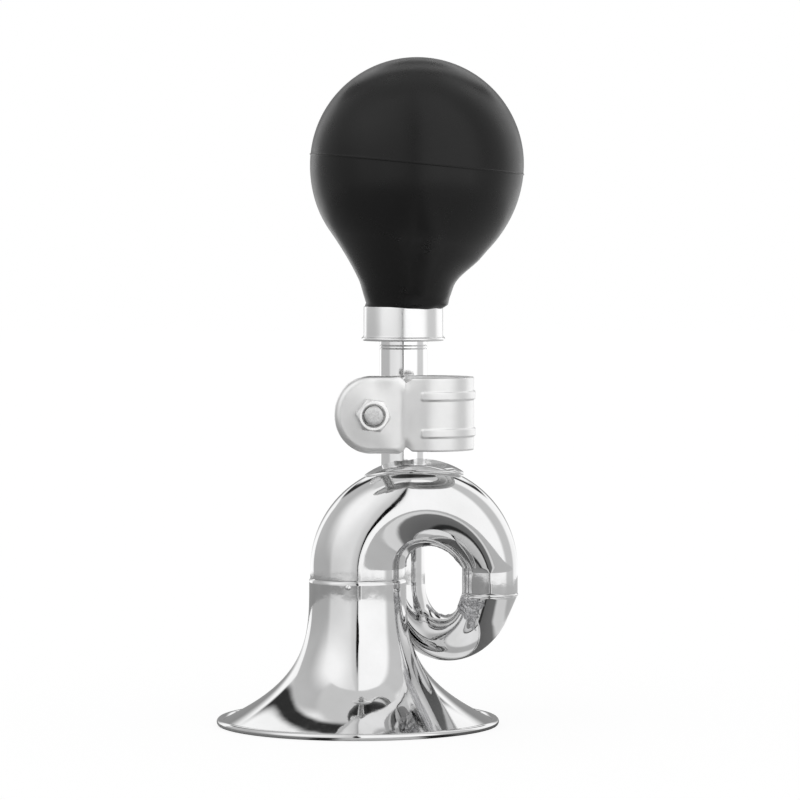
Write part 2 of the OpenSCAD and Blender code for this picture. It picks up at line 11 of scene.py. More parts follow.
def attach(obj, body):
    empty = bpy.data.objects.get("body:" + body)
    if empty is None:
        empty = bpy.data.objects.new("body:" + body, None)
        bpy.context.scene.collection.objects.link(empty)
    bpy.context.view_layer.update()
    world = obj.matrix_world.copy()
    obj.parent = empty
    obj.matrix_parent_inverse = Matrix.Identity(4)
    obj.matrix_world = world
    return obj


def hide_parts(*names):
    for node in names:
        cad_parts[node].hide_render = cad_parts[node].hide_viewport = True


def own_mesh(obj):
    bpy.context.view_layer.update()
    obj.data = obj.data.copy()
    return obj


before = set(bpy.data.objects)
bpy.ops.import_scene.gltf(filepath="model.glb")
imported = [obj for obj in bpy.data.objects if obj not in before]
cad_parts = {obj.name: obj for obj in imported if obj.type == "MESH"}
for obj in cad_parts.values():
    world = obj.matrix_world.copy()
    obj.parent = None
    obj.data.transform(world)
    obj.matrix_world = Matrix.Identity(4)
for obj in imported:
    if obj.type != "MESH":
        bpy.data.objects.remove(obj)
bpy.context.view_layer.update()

# Sizes of the horn, in millimetres, as the source has them
MM = 0.001
NECK_X, NECK_Y = 8.47011, 13.075
SEAT = 0.04  # clearance where one piece sits in another
RUNNING = 0.06  # clearance where one piece turns or slides on another
RIM_R, RIM_BEAD_R, BELL_H, THROAT_R, FLARE_POWER, BELL_WALL = 37.2, 1.0, 38.4, 12.8, 3.45, 0.8
BIG_R, SMALL_R, BEND_R, TAPER = 12.5, 7.3, 27.3, 2.0
BEND_X, BEND_Y, BEND_Z = 2.8, -17.7, 41.4
BELL_X = BEND_X - BEND_R + BIG_R
JOINT = Vector((BEND_X + BEND_R - SMALL_R, BEND_Y, BEND_Z - 7.1))
BEND_WALL = 0.8
MITRE, MITRE_RUN, LEG_R, LEG_TAPER = math.radians(27), 5.4, 5.8, 4.0
NECK_R, NECK_BORE_R, NECK_LOW, NECK_TOP = 6.35, 5.55, 60.4, 113.4
COLLAR_R, COLLAR_Z, COLLAR_H, COLLAR_WALL, LIP_R = 10.6, 100.7, 9.2, 0.8, 0.55
COLLAR_TOP = COLLAR_Z + COLLAR_H
BULB_R, BULB_RISE, BULB_LOW, BULB_FOOT_R, BULB_WALL = 28.5, 38.0, 30.5, 10.5, 2.4
BULB_LEAN = math.radians(5.5)
FLASH = 0.25  # how far the bulb's moulding line stands out
CLAMP_Z, CLAMP_TURN = 82.4, math.radians(6.5)
BAR_R, BAND_T, EAR_R, BAND_REACH, CREASE_X = 11.1, 1.1, 10.1, 15.6, 6.9
BAND_OUT_R = BAR_R + BAND_T
BAND_X, BAND_Y, EAR_Y = 3.6, -24.05, 10.0613
CLIP_T, CLIP_HALF, CLIP_REACH, CLIP_REAR_Y = 1.2, 7.0, 12.0, 4.5
BOLT_R, HEX_FLAT_R, NUT_H, HEAD_H, NUT_TURN = 2.5, 4.0, 4.0, 3.5, 7.0
HOLE_R = BOLT_R + 0.1
WASHER_R, WASHER_T, SPRING_R, SPRING_T = 5.0, 1.0, 4.4, 1.2
THREAD_ROOT_R, THREAD_PITCH, THREAD_LENGTH = 2.08, 0.8, 22

PART = Matrix.Translation((NECK_X * MM, NECK_Y * MM, 0)) @ Matrix.Scale(MM, 4)
CLAMP = Matrix.Translation((0, 0, CLAMP_Z)) @ Matrix.Rotation(CLAMP_TURN, 4, "Z")
BAND = CLAMP @ Matrix.Translation((BAND_X, BAND_Y, 0))
# Along the bolt: up is towards the front, from the neck's middle plane
BOLT = CLAMP @ Matrix.Translation((-CLIP_REACH, 0, 0)) @ Matrix.Rotation(math.radians(90), 4, "X")


def eased(t):
    """A step from 0 to 1 with soft ends."""
    t = min(max(t, 0.0), 1.0)
    return t * t * (3 - 2 * t)


# Finishes


class Finish:
    """A material, with the few nodes that this horn's finishes are made of."""

    def __init__(self, name):
        self.material = bpy.data.materials.new(name)
        self.material.use_nodes = True
        self.nodes = self.material.node_tree.nodes
        self.links = self.material.node_tree.links
        self.shader = self.nodes["Principled BSDF"]
        self.place = self.nodes.new("ShaderNodeTexCoord").outputs["Object"]

    def set(self, **values):
        """Sets inputs of the shader, named with _ for each space."""
        for name, value in values.items():
            self.shader.inputs[name.replace("_", " ")].default_value = value
        return self

    def link(self, output, socket):
        self.links.new(output, socket)

    def stretched(self, x, y, z):
        """The piece's own coordinates, scaled along each axis."""
        node = self.nodes.new("ShaderNodeMapping")
        node.inputs["Scale"].default_value = (x, y, z)
        self.link(self.place, node.inputs["Vector"])
        return node.outputs["Vector"]

    def grain(self, scale, detail, roughness=0.55, place=None, distortion=0.0):
        """A cloudy pattern, with a scale in patterns to the metre."""
        node = self.nodes.new("ShaderNodeTexNoise")
        node.inputs["Scale"].default_value = scale
        node.inputs["Detail"].default_value = detail
        node.inputs["Roughness"].default_value = roughness
        node.inputs["Distortion"].default_value = distortion
        self.link(place or self.place, node.inputs["Vector"])
        return node.outputs["Fac"]

    def cells(self, scale):
        """A pattern of small pits, as in cast metal."""
        node = self.nodes.new("ShaderNodeTexVoronoi")
        node.inputs["Scale"].default_value = scale
        self.link(self.place, node.inputs["Vector"])
        return node.outputs["Distance"]

    def between(self, fac, low, high, start, end):
        """Maps a pattern from start..end to low..high."""
        node = self.nodes.new("ShaderNodeMapRange")
        for name, value in (("From Min", start), ("From Max", end), ("To Min", low), ("To Max", high)):
            node.inputs[name].default_value = value
        self.link(fac, node.inputs["Value"])
        return node.outputs["Result"]

    def tinted(self, fac, stops):
        """Colours a pattern by two stops of (position, colour)."""
        node = self.nodes.new("ShaderNodeValToRGB")
        for element, (position, colour) in zip(node.color_ramp.elements, stops):
            element.position = position
            element.color = (*colour, 1)
        self.link(fac, node.inputs["Fac"])
        return node.outputs["Color"]

    def added(self, a, b, share):
        """One pattern with a share of another on top."""
        node = self.nodes.new("ShaderNodeMath")
        node.operation = "MULTIPLY_ADD"
        node.inputs[1].default_value = share
        self.link(b, node.inputs[0])
        self.link(a, node.inputs[2])
        return node.outputs["Value"]

    def colour(self, output):
        self.link(output, self.shader.inputs["Base Color"])

    def roughness(self, output):
        self.link(output, self.shader.inputs["Roughness"])

    def relief(self, height, depth_mm, below=None):
        """Raises the surface by a pattern, on top of an earlier relief below it."""
        node = self.nodes.new("ShaderNodeBump")
        node.inputs["Distance"].default_value = depth_mm * MM
        self.link(height, node.inputs["Height"])
        if below:
            self.link(below, node.inputs["Normal"])
        self.link(node.outputs["Normal"], self.shader.inputs["Normal"])
        return node.outputs["Normal"]


def plated(name, dark, light, smooth, worn, wave_mm, peel_mm):
    """Bright plate on thin sheet: slight waves from the press, a fine orange peel and faint haze."""
    finish = Finish(name).set(Metallic=1.0)
    haze = finish.grain(70, 4)
    finish.colour(finish.tinted(haze, [(0.3, (dark,) * 3), (0.7, (light, light, light * 1.004))]))
    scuffs = finish.grain(260, 6, 0.7, finish.stretched(1, 1, 0.35))
    finish.roughness(finish.between(scuffs, smooth, worn, 0.45, 0.8))
    waves = finish.relief(finish.grain(90, 1.5), wave_mm)
    finish.relief(finish.grain(900, 2), peel_mm, below=waves)
    return finish.material


def zinc(name, dark, light, smooth, worn, peel_mm, brushed=(1, 1, 1)):
    """Zinc plate: satin, with pale clouds, rubbed patches and a fine tooth."""
    finish = Finish(name).set(Metallic=1.0)
    clouds = finish.grain(120, 5, 0.6)
    finish.colour(finish.tinted(clouds, [(0.3, (dark, dark, dark)), (0.7, (light, light, light * 0.995))]))
    rubbed = finish.grain(420, 6, 0.7, finish.stretched(*brushed))
    finish.roughness(finish.between(rubbed, smooth, worn, 0.3, 0.7))
    tooth = finish.added(finish.grain(1500, 4, 0.7), finish.grain(160, 2), 3.0)
    finish.relief(tooth, peel_mm)
    return finish.material


def soldered(name):
    """Plated solder: lumpy, pitted and duller than the sheet round it."""
    finish = Finish(name).set(Metallic=1.0)
    lumps = finish.grain(800, 5, 0.65, distortion=0.8)
    finish.colour(finish.tinted(lumps, [(0.3, (0.30, 0.30, 0.31)), (0.62, (0.66, 0.66, 0.67))]))
    finish.roughness(finish.between(lumps, 0.12, 0.38, 0.35, 0.7))
    pits = finish.added(lumps, finish.cells(1500), 0.5)
    finish.relief(pits, 0.22)
    return finish.material


def moulded_rubber(name, base, gloss, tooth_mm):
    """Moulded rubber: a low gloss, with the mould's fine blasted tooth and a few rubbed clouds."""
    finish = Finish(name).set(Specular_IOR_Level=gloss, Sheen_Weight=0.10, Sheen_Roughness=0.2)
    clouds = finish.grain(45, 5, 0.6)
    finish.colour(finish.tinted(clouds, [(0.35, (base,) * 3), (0.7, (base * 1.35,) * 3)]))
    rubbed = finish.grain(160, 6, 0.7)
    finish.roughness(finish.between(rubbed, 0.25, 0.34, 0.3, 0.7))
    tooth = finish.added(finish.grain(2600, 3, 0.7), finish.grain(300, 3), 1.2)
    finish.relief(tooth, tooth_mm)
    return finish.material


def turned_brass(name, dark, light):
    """Bare brass: a little clouded, with the fine rings that the lathe left."""
    finish = Finish(name).set(Metallic=1.0)
    clouds = finish.grain(200, 4)
    finish.colour(finish.tinted(clouds, [(0.3, dark), (0.7, light)]))
    marks = finish.grain(300, 4, 0.7, finish.stretched(1, 1, 12))
    finish.roughness(finish.between(marks, 0.18, 0.36, 0.3, 0.7))
    finish.relief(marks, 0.02)
    return finish.material


def cropped_steel(name):
    """The cropped end of the bolt: a sandy, grey break in the steel."""
    finish = Finish(name).set(Metallic=1.0)
    sand = finish.grain(1900, 6, 0.8)
    finish.colour(finish.tinted(sand, [(0.35, (0.58,) * 3), (0.65, (0.86,) * 3)]))
    finish.roughness(finish.between(sand, 0.3, 0.55, 0.3, 0.7))
    finish.relief(sand, 0.12)
    return finish.material


chrome = plated("horn chrome", 0.72, 0.79, 0.035, 0.11, 0.05, 0.002)
nickel = plated("bright nickel", 0.86, 0.92, 0.06, 0.13, 0.03, 0.003)
soft_nickel = plated("collar nickel", 0.82, 0.88, 0.20, 0.30, 0.03, 0.003)
solder = soldered("solder")
band_zinc = zinc("band zinc", 0.82, 0.88, 0.34, 0.42, 0.005, (1, 1, 3))
steel_zinc = zinc("fastener zinc", 0.76, 0.88, 0.20, 0.34, 0.008)
bolt_end = cropped_steel("cropped bolt end")
bulb_rubber = moulded_rubber("bulb rubber", 0.0045, 0.28, 0.006)
bush_rubber = moulded_rubber("bush rubber", 0.02, 0.3, 0.010)
reed_brass = turned_brass("reed brass", (0.62, 0.44, 0.18), (0.80, 0.62, 0.30))
tongue_brass = turned_brass("tongue brass", (0.70, 0.52, 0.24), (0.84, 0.68, 0.36))

# Ways of shaping


def seated(bm, name, material, stands_for=(), body="horn", place=None, crisp=None, wall=0.0):
    """Puts a shaped piece in the part's frame, and onto the body that carries it."""
    bmesh.ops.transform(bm, matrix=PART @ (place or Matrix.Identity(4)), verts=bm.verts)
    mesh = bpy.data.meshes.new(name)
    bm.to_mesh(mesh)
    bm.free()
    mesh.shade_smooth()
    if crisp:
        mesh.set_sharp_from_angle(angle=math.radians(crisp))
    mesh.materials.append(material)
    piece = bpy.data.objects.new(name, mesh)
    bpy.context.scene.collection.objects.link(piece)
    if wall:
        thick = piece.modifiers.new("wall", "SOLIDIFY")
        thick.thickness, thick.offset = wall * MM, -1
    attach(piece, body)
    if stands_for:
        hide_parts(*stands_for)
    return piece


def spun(profile, steps, at=(0.0, 0.0)):
    """A closed profile of (radius, height) turned once about an upright axis."""
    bm = bmesh.new()
    line = [bm.verts.new((at[0] + r, at[1], z)) for r, z in profile]
    edges = [bm.edges.new(pair) for pair in zip(line, line[1:] + line[:1])]
    bmesh.ops.spin(
        bm, geom=line + edges, cent=(at[0], at[1], 0), axis=(0, 0, 1),
        angle=2 * math.pi, steps=steps, use_merge=True,
    )
    bmesh.ops.remove_doubles(bm, verts=bm.verts, dist=1e-4)
    loose = [f for f in bm.faces if f.calc_area() < 1e-9]
    bmesh.ops.delete(bm, geom=loose, context="FACES_ONLY")
    bmesh.ops.recalc_face_normals(bm, faces=bm.faces)
    return bm


def extruded(bm, edges):
    """Extrudes open edges, and gives the vertices that this makes."""
    made = bmesh.ops.extrude_edge_only(bm, edges=edges)["geom"]
    return [g for g in made if isinstance(g, bmesh.types.BMVert)]


def next_ring(bm, ring):
    """Extrudes the last closed ring of vertices into a new one."""
    inside = set(ring)
    round_edges = dict.fromkeys(e for v in ring for e in v.link_edges if set(e.verts) <= inside)
    return extruded(bm, list(round_edges))


def drawn(stations, sides, capped=False):
    """A ring drawn out through stations of (middle, out, side, out radius, side radius)."""
    bm = bmesh.new()
    ring = bmesh.ops.create_circle(bm, segments=sides, radius=1.0)["verts"]
    last = Matrix.Identity(4)
    for number, (middle, out, side, out_r, side_r) in enumerate(stations):
        if number:
            ring = next_ring(bm, ring)
        now = Matrix.Identity(4)
        for column, vector in enumerate((out * out_r, side * side_r, out.cross(side), middle)):
            for row in range(3):
                now[row][column] = vector[row]
        bmesh.ops.transform(bm, matrix=now @ last.inverted(), verts=ring)
        last = now
    if capped:
        bmesh.ops.holes_fill(bm, edges=[e for e in bm.edges if e.is_boundary], sides=sides)
    bmesh.ops.recalc_face_normals(bm, faces=bm.faces)
    return bm


def walked(parts):
    """A bent line for strip: arcs of (middle x, y, radius, from, to, +1 outward or -1 inward)
    and points of (x, y, normal x, y), as a table of (length, point, outward normal)."""
    table, far = [], 0.0
    for part in parts:
        if len(part) == 4:
            found = [(Vector(part[:2]), Vector(part[2:]))]
        else:
            x, y, radius, first, last, sense = part
            steps = max(6, int(abs(last - first) * max(radius, 1) / 6))
            found = []
            for i in range(steps + 1):
                turn = math.radians(first + (last - first) * i / steps)
                ray = Vector((math.cos(turn), math.sin(turn)))
                found.append((Vector((x, y)) + radius * ray, sense * ray))
        for point, normal in found:
            if table:
                far += (point - table[-1][1]).length
            table.append((far, point, normal))
    return table


def along(table, far):
    """The point and the outward normal at a length along a bent line."""
    low, high = 0, len(table) - 1
    while high - low > 1:
        middle = (low + high) // 2
        if table[middle][0] <= far:
            low = middle
        else:
            high = middle
    a, b = table[low], table[high]
    share = min(max((far - a[0]) / max(b[0] - a[0], 1e-9), 0), 1)
    return a[1].lerp(b[1], share), a[2].lerp(b[2], share).normalized()


def pressed(table, half_height, ends_r, lift, columns, rows, hole_r):
    """A strip blank with round ends, bent along a table and lifted by its pressing, with a bolt
    hole in each round end."""
    bm = bmesh.new()
    bmesh.ops.create_grid(bm, x_segments=columns, y_segments=rows, size=0.5)
    length = table[-1][0]
    ends = 0.2  # share of the columns in each round end
    for v in bm.verts:
        share, across = v.co.x + 0.5, 2 * v.co.y
        side = min(share, 1 - share)
        end_r = ends_r[0] if share < 0.5 else ends_r[1]
        if side < ends:
            far = end_r * (1 - math.cos(side / ends * math.pi / 2))
        else:
            far = end_r + (side - ends) / (0.5 - ends) * (length / 2 - end_r)
        if share > 0.5:
            far = length - far
        v.co = (far, across * half_height(far, length), 0)
    for middle in (ends_r[0], length - ends_r[1]):
        gone = [f for f in bm.faces if (f.calc_center_median() - Vector((middle, 0, 0))).length < hole_r]
        bmesh.ops.delete(bm, geom=gone, context="FACES")
        for v in bm.verts:
            off = v.co - Vector((middle, 0, 0))
            if v.is_boundary and off.length < hole_r * 1.5:
                v.co = Vector((middle, 0, 0)) + off.normalized() * hole_r
    for v in bm.verts:
        far, z = v.co.x, v.co.y
        point, normal = along(table, far)
        raised = lift(far, z, length)
        v.co = (point.x + normal.x * raised, point.y + normal.y * raised, z)
    bmesh.ops.remove_doubles(bm, verts=[v for v in bm.verts if v.is_boundary], dist=1e-3)
    return bm


def hexagon(height, chamfer_low, chamfer_high, bore=0.0):
    """A hexagon, drawn ring by ring. A chamfer of 1 turns its corners off at 30 degrees, 0 does not."""
    bm = bmesh.new()
    sides = 96
    face_r = 0.95 * HEX_FLAT_R
    slope = math.tan(math.radians(30))
    edge = 0.02
    mouth_w, mouth_deep = 0.45, 0.5
    inner = bore + mouth_w if bore else 0.3

    def reach(turn):
        return HEX_FLAT_R / math.cos((turn + math.pi / 6) % (math.pi / 3) - math.pi / 6)

    def placed(verts, radius_of, height_of):
        for v in verts:
            turn = math.atan2(v.co.y, v.co.x)
            radius = radius_of(turn)
            v.co = (radius * math.cos(turn), radius * math.sin(turn), height_of(radius))

    plan = [
        (lambda t: inner, lambda r: 0.0),
        (lambda t: face_r, lambda r: 0.0),
        (reach, lambda r: (r - face_r) * slope * chamfer_low + edge),
        (reach, lambda r: height - (r - face_r) * slope * chamfer_high - edge),
        (lambda t: face_r, lambda r: height),
        (lambda t: inner, lambda r: height),
    ]
    if bore:
        plan += [
            (lambda t: bore, lambda r: height - mouth_deep),
            (lambda t: bore, lambda r: mouth_deep),
            plan[0],
        ]
    ring = bmesh.ops.create_circle(bm, segments=sides, radius=1.0)["verts"]
    placed(ring, *plan[0])
    for radius_of, height_of in plan[1:]:
        ring = next_ring(bm, ring)
        placed(ring, radius_of, height_of)
    if bore:
        bmesh.ops.remove_doubles(bm, verts=bm.verts, dist=1e-4)
    else:
        bmesh.ops.holes_fill(bm, edges=[e for e in bm.edges if e.is_boundary], sides=sides)
    bmesh.ops.recalc_face_normals(bm, faces=bm.faces)
    return bm


def cut_thread(low, high, crest, root, pitch):
    """A single-start thread, its crest line wound up the shank."""
    bm = bmesh.new()
    steps = 24
    tooth = [(root, 0), (crest, pitch * 0.42), (crest, pitch * 0.58), (root, pitch)]
    line = [bm.verts.new((r, 0, low + z)) for r, z in tooth]
    edges = [bm.edges.new(pair) for pair in zip(line, line[1:])]
    turns = int((high - low) / pitch) - 1
    bmesh.ops.spin(
        bm, geom=line + edges, cent=(0, 0, 0), axis=(0, 0, 1),
        dvec=(0, 0, pitch / steps), angle=2 * math.pi * turns, steps=steps * turns, use_merge=False,
    )
    bmesh.ops.remove_doubles(bm, verts=bm.verts, dist=1e-3)
    bmesh.ops.recalc_face_normals(bm, faces=bm.faces)
    return bm


# The spun bell

rim_x = RIM_R - RIM_BEAD_R
rim_z = 0.9 * RIM_BEAD_R
flare_h = BELL_H - rim_z
flare_w = rim_x - THROAT_R


def flare_point(share, inset):
    """A point of the flare from the rim (0) to the throat (1), or inset under its surface."""
    left = 1 - share
    slope = -flare_w * FLARE_POWER * left ** (FLARE_POWER - 1) / flare_h
    tilt = math.hypot(1, slope)
    return (
        THROAT_R + flare_w * left**FLARE_POWER - inset / tilt,
        rim_z + flare_h * share + inset * slope / tilt,
    )


def clear_of_bead(point):
    """Whether a point lies outside the rolled rim and above the table."""
    return math.hypot(point[0] - rim_x, point[1] - rim_z) > RIM_BEAD_R and point[1] > 0


# Closer together near the rim, where the flare turns fastest
shares = [(i / 72) ** 1.4 for i in range(73)]
outside = [p for p in (flare_point(s, 0) for s in shares) if clear_of_bead(p)]
inside = [p for p in (flare_point(s, BELL_WALL) for s in shares) if clear_of_bead(p)]
bead = [
    (rim_x + RIM_BEAD_R * math.cos(math.radians(a)), rim_z + RIM_BEAD_R * math.sin(math.radians(a)))
    for a in range(155, -64, -8)
]
bell_profile = [
    (THROAT_R - BELL_WALL + 0.1, BELL_H), (THROAT_R - 0.12, BELL_H), (THROAT_R, BELL_H - 0.15),
    *[p for p in outside[::-1] if p[1] < BELL_H - 0.3], *bead,
    (rim_x + 0.1, 0.0), (rim_x - 0.45, 0.0), *inside,
]
seated(
    spun(bell_profile, 288, (BELL_X, BEND_Y)), "bell_spun", chrome, ("bell",), crisp=50,
)

# The two bends


def upper_station(share):
    """A ring of the upper bend, from the bell's side (0) over the crown to the loop's side (1)."""
    turn = math.pi * (1 - share)
    out = Vector((math.cos(turn), 0, math.sin(turn)))
    radius = BIG_R - (BIG_R - SMALL_R) * share**TAPER
    middle = Vector((BEND_X, BEND_Y, BEND_Z)) + (BEND_R - radius) * out
    return middle, out, Vector((0, 1, 0)), radius, radius


def at_height(station, z):
    """The same ring at another height."""
    middle, out, side, out_r, side_r = station
    return Vector((middle.x, middle.y, z)), out, side, out_r, side_r


upper = [at_height(upper_station(0), BELL_H + 0.05 + (BEND_Z - BELL_H) * i / 6) for i in range(6)]
upper += [upper_station(i / 120) for i in range(121)]
upper += [at_height(upper_station(1), BEND_Z - (BEND_Z - JOINT.z) * i / 8) for i in range(1, 9)]
seated(drawn(upper, 128), "upper_bend_drawn", chrome, ("upper_bend",), wall=BEND_WALL)

span = math.hypot(JOINT.x, JOINT.y)
toward_neck = Vector((-JOINT.x / span, -JOINT.y / span, 0))
lower_side = toward_neck.cross(Vector((0, 0, 1)))
lower_r = (span - MITRE_RUN * math.sin(MITRE)) / (1 + math.cos(MITRE))
leg_low_z = JOINT.z - MITRE_RUN * math.cos(MITRE) + lower_r * math.sin(MITRE)
lower_length = MITRE_RUN + lower_r * (math.pi - MITRE)


def lower_radius(length):
    """The lower bend's radius at a length from the loop's joint."""
    return LEG_R + (SMALL_R - LEG_R) * max(1 - length / lower_length, 0) ** LEG_TAPER


def lower_station(share):
    """A ring of the lower bend, from the end of its mitre (0) to the foot of the leg (1)."""
    rise = -(math.pi / 2 - MITRE) + (math.pi - MITRE) * share
    out = math.sin(rise) * toward_neck - Vector((0, 0, math.cos(rise)))
    middle = Vector((JOINT.x, JOINT.y, leg_low_z)) + (span - lower_r) * toward_neck + lower_r * out
    radius = lower_radius(MITRE_RUN + (lower_length - MITRE_RUN) * share)
    return middle, out, lower_side, radius, radius


def mitre_station(share):
    """Between the level joint and the first ring of the bend."""
    first = lower_station(0)
    level = (Vector((JOINT.x, JOINT.y, JOINT.z - SEAT)), -toward_neck, lower_side, SMALL_R, SMALL_R)
    middle = level[0].lerp(first[0], share)
    out = level[1].lerp(first[1], share)
    radius = SMALL_R + (first[3] - SMALL_R) * share
    return middle, out, lower_side, radius, radius


lower = [mitre_station(i / 10) for i in range(10)]
lower += [lower_station(i / 90) for i in range(91)]
leg = lower_station(1)
lower += [at_height(leg, leg_low_z + (NECK_LOW - leg_low_z) * i / 10) for i in range(1, 11)]
seated(drawn(lower, 112), "lower_bend_drawn", chrome, ("lower_bend",), wall=BEND_WALL)

# Solder

SEAM_W, SEAM_H = 1.6, 0.45


def run_of_solder(stations, width, height, seed):
    """A bead along the inner side of a bend, uneven as it was run in by hand."""
    beads = []
    for number, (middle, out, side, radius, _) in enumerate(stations):
        uneven = noise.noise(Vector((number * 0.23, seed, 0.5)))
        ragged = noise.noise(Vector((number * 0.9, seed, 4.5)))
        end = min(number, len(stations) - 1 - number) / 4
        size = (0.75 + 0.45 * uneven + 0.25 * ragged) * min(1, 0.3 + end)
        beads.append((
            middle - (radius - 0.12) * out + 0.25 * uneven * side, out, side,
            height * size + 0.12, width * size / 2,
        ))
    return drawn(beads, 16, capped=True)


seated(
    run_of_solder([upper_station(0.03 + 0.97 * i / 110) for i in range(111)], SEAM_W, SEAM_H, 1.5),
    "upper_seam_run", solder, ("upper_seam_solder",),
)
seated(
    run_of_solder([lower_station(0.03 + 0.7 * i / 80) for i in range(81)], SEAM_W, SEAM_H, 7.5),
    "lower_seam_run", solder, ("lower_seam_solder",),
)


def solder_ring(inner, width, height, at, z, seed, flip=1):
    """A fillet round a joint, wavy where it was wiped: above the joint, or below it with flip -1."""
    bm = spun(
        [(inner - 0.1, -0.25 * flip), (inner + width, 0.0), (inner + width * 0.5, height * 0.45 * flip),
         (inner, height * flip), (inner - 0.1, height * flip)], 160,
    )
    for v in bm.verts:
        turn = math.atan2(v.co.y, v.co.x)
        wave = noise.noise(Vector((3 * math.cos(turn), 3 * math.sin(turn), seed)))
        v.co.z *= 1 + 0.5 * wave
        v.co.xy = v.co.xy * (1 + 0.006 * wave)
    bmesh.ops.translate(bm, vec=(*at, z), verts=bm.verts)
    return bm


seated(
    solder_ring(BIG_R, 0.2, 0.3, (BELL_X, BEND_Y), BELL_H, seed=2.0),
    "bell_joint_ring", chrome, ("bell_joint_solder",),
)
seated(
    solder_ring(SMALL_R, 0.2, 0.45, (JOINT.x, JOINT.y), JOINT.z, seed=5.0),
    "loop_joint_ring", chrome, ("loop_joint_solder",),
)
seated(
    solder_ring(LEG_R, NECK_R - LEG_R, 0.8, (0, 0), NECK_LOW, flip=-1, seed=8.0),
    "leg_joint_ring", solder, ("leg_solder",),
)

# The drop that ran down the bell below its joint, left of the middle. noise_vector follows the
# clock unless it has a seed.
noise.seed_set(3)
drop_turn = math.radians(259)
bm = bmesh.new()
bmesh.ops.create_uvsphere(bm, u_segments=40, v_segments=24, radius=0.8)
for v in bm.verts:
    v.co.z *= 1.15 if v.co.z > 0 else 0.8
    v.co += 0.12 * noise.noise_vector(v.co * 1.4)
bmesh.ops.scale(bm, vec=(0.55, 1, 1), verts=bm.verts)
drop_place = (
    Matrix.Translation((BELL_X, BEND_Y, BELL_H - 1.3)) @ Matrix.Rotation(drop_turn, 4, "Z")
    @ Matrix.Translation((THROAT_R + 0.08, 0, 0))
)
seated(bm, "solder_drop", chrome, place=drop_place)


def patched(station_of, middle_turn, half_turn, low, high, thick, seed):
    """A rough skin of solder on one side of a tube, cut off where it sinks under the sheet."""
    rings, sides = 60, 128
    stations = [station_of(low + (high - low) * i / rings) for i in range(rings + 1)]
    bm = drawn(stations, sides)
    buried = []
    for number, v in enumerate(bm.verts):
        ring_number = number // sides
        middle, out, side, *_ = stations[ring_number]
        ray = v.co - middle
        turn = math.degrees(math.atan2(ray.dot(side), ray.dot(out)))
        across = 1 - abs((turn - middle_turn + 180) % 360 - 180) / half_turn
        down = min(ring_number, rings - ring_number) / rings * 4
        edge = min(across * 3, down) + 0.5 * noise.noise(v.co * 0.5 + Vector((seed, 0, 0)))
        rough = noise.noise(v.co * 1.3 + Vector((0, seed, 0))) + 0.6 * noise.noise(v.co * 3.1)
        lift = -0.06 + eased(edge * 2.2) * (thick + 0.16 * rough)
        v.co += ray.normalized() * lift
        if edge < -0.25:
            buried.append(v)
    bmesh.ops.delete(bm, geom=buried, context="VERTS")
    return bm


# The rough wipe of solder below the loop's joint
seated(
    patched(mitre_station, -104, 46, 0.02, 1.45, 0.14, 3.7), "mitre_solder_wipe", solder,
)

# The neck, the saddle plate and the collar

neck_outside = []
for z in (COLLAR_Z - 1.2, COLLAR_Z - 2.0):
    # a ring groove
    neck_outside += [
        (NECK_R, z + 0.22), (NECK_R - 0.12, z + 0.09), (NECK_R - 0.15, z), (NECK_R - 0.12, z - 0.09),
        (NECK_R, z - 0.22),
    ]
neck_profile = [
    (NECK_BORE_R, NECK_TOP), (NECK_R - 0.1, NECK_TOP), (NECK_R, NECK_TOP - 0.1), *neck_outside,
    (NECK_R, NECK_LOW + 0.15), (NECK_R - 0.15, NECK_LOW), (NECK_BORE_R, NECK_LOW),
]
seated(spun(neck_profile, 160), "neck_turned", nickel, ("neck_tube",), crisp=35)

lip = [
    (COLLAR_R + LIP_R * math.cos(math.radians(a)), COLLAR_Z + LIP_R + LIP_R * math.sin(math.radians(a)))
    for a in range(75, -91, -12)
]
collar_profile = [
    (COLLAR_R - 0.25, COLLAR_TOP), (COLLAR_R - 0.08, COLLAR_TOP - 0.08), (COLLAR_R, COLLAR_TOP - 0.28),
    (COLLAR_R, COLLAR_Z + 3 * LIP_R), *lip, (NECK_R + SEAT, COLLAR_Z),
    (NECK_R + SEAT, COLLAR_Z + COLLAR_WALL), (COLLAR_R - COLLAR_WALL, COLLAR_Z + COLLAR_WALL),
    (COLLAR_R - COLLAR_WALL, COLLAR_TOP - 0.1), (COLLAR_R - COLLAR_WALL + 0.1, COLLAR_TOP),
]
seated(spun(collar_profile, 192), "collar_drawn", soft_nickel, ("bulb_collar",), crisp=40)

PLATE_HALF, PLATE_FRONT, PLATE_BACK, PLATE_T = 13.0, 6.4, 12.5, 0.9
PLATE_TILT = math.radians(4)
PLATE_RINGS, PLATE_RING_W = 14, 0.06  # a ring's width is a share of the plate's half width
section_r = BIG_R - 0.5  # roughly the bend's radius under the plate


def plate_height(x, y):
    """Height of the plate's underside over the bend's middle: it rides on the crown."""
    ride_r = BEND_R + SEAT
    if y < 0:
        ride_r += math.sqrt(max(section_r**2 - y * y, 1)) - section_r
    return math.sqrt(max(ride_r**2 - x * x, 1)) + x * math.tan(PLATE_TILT) * 0.5


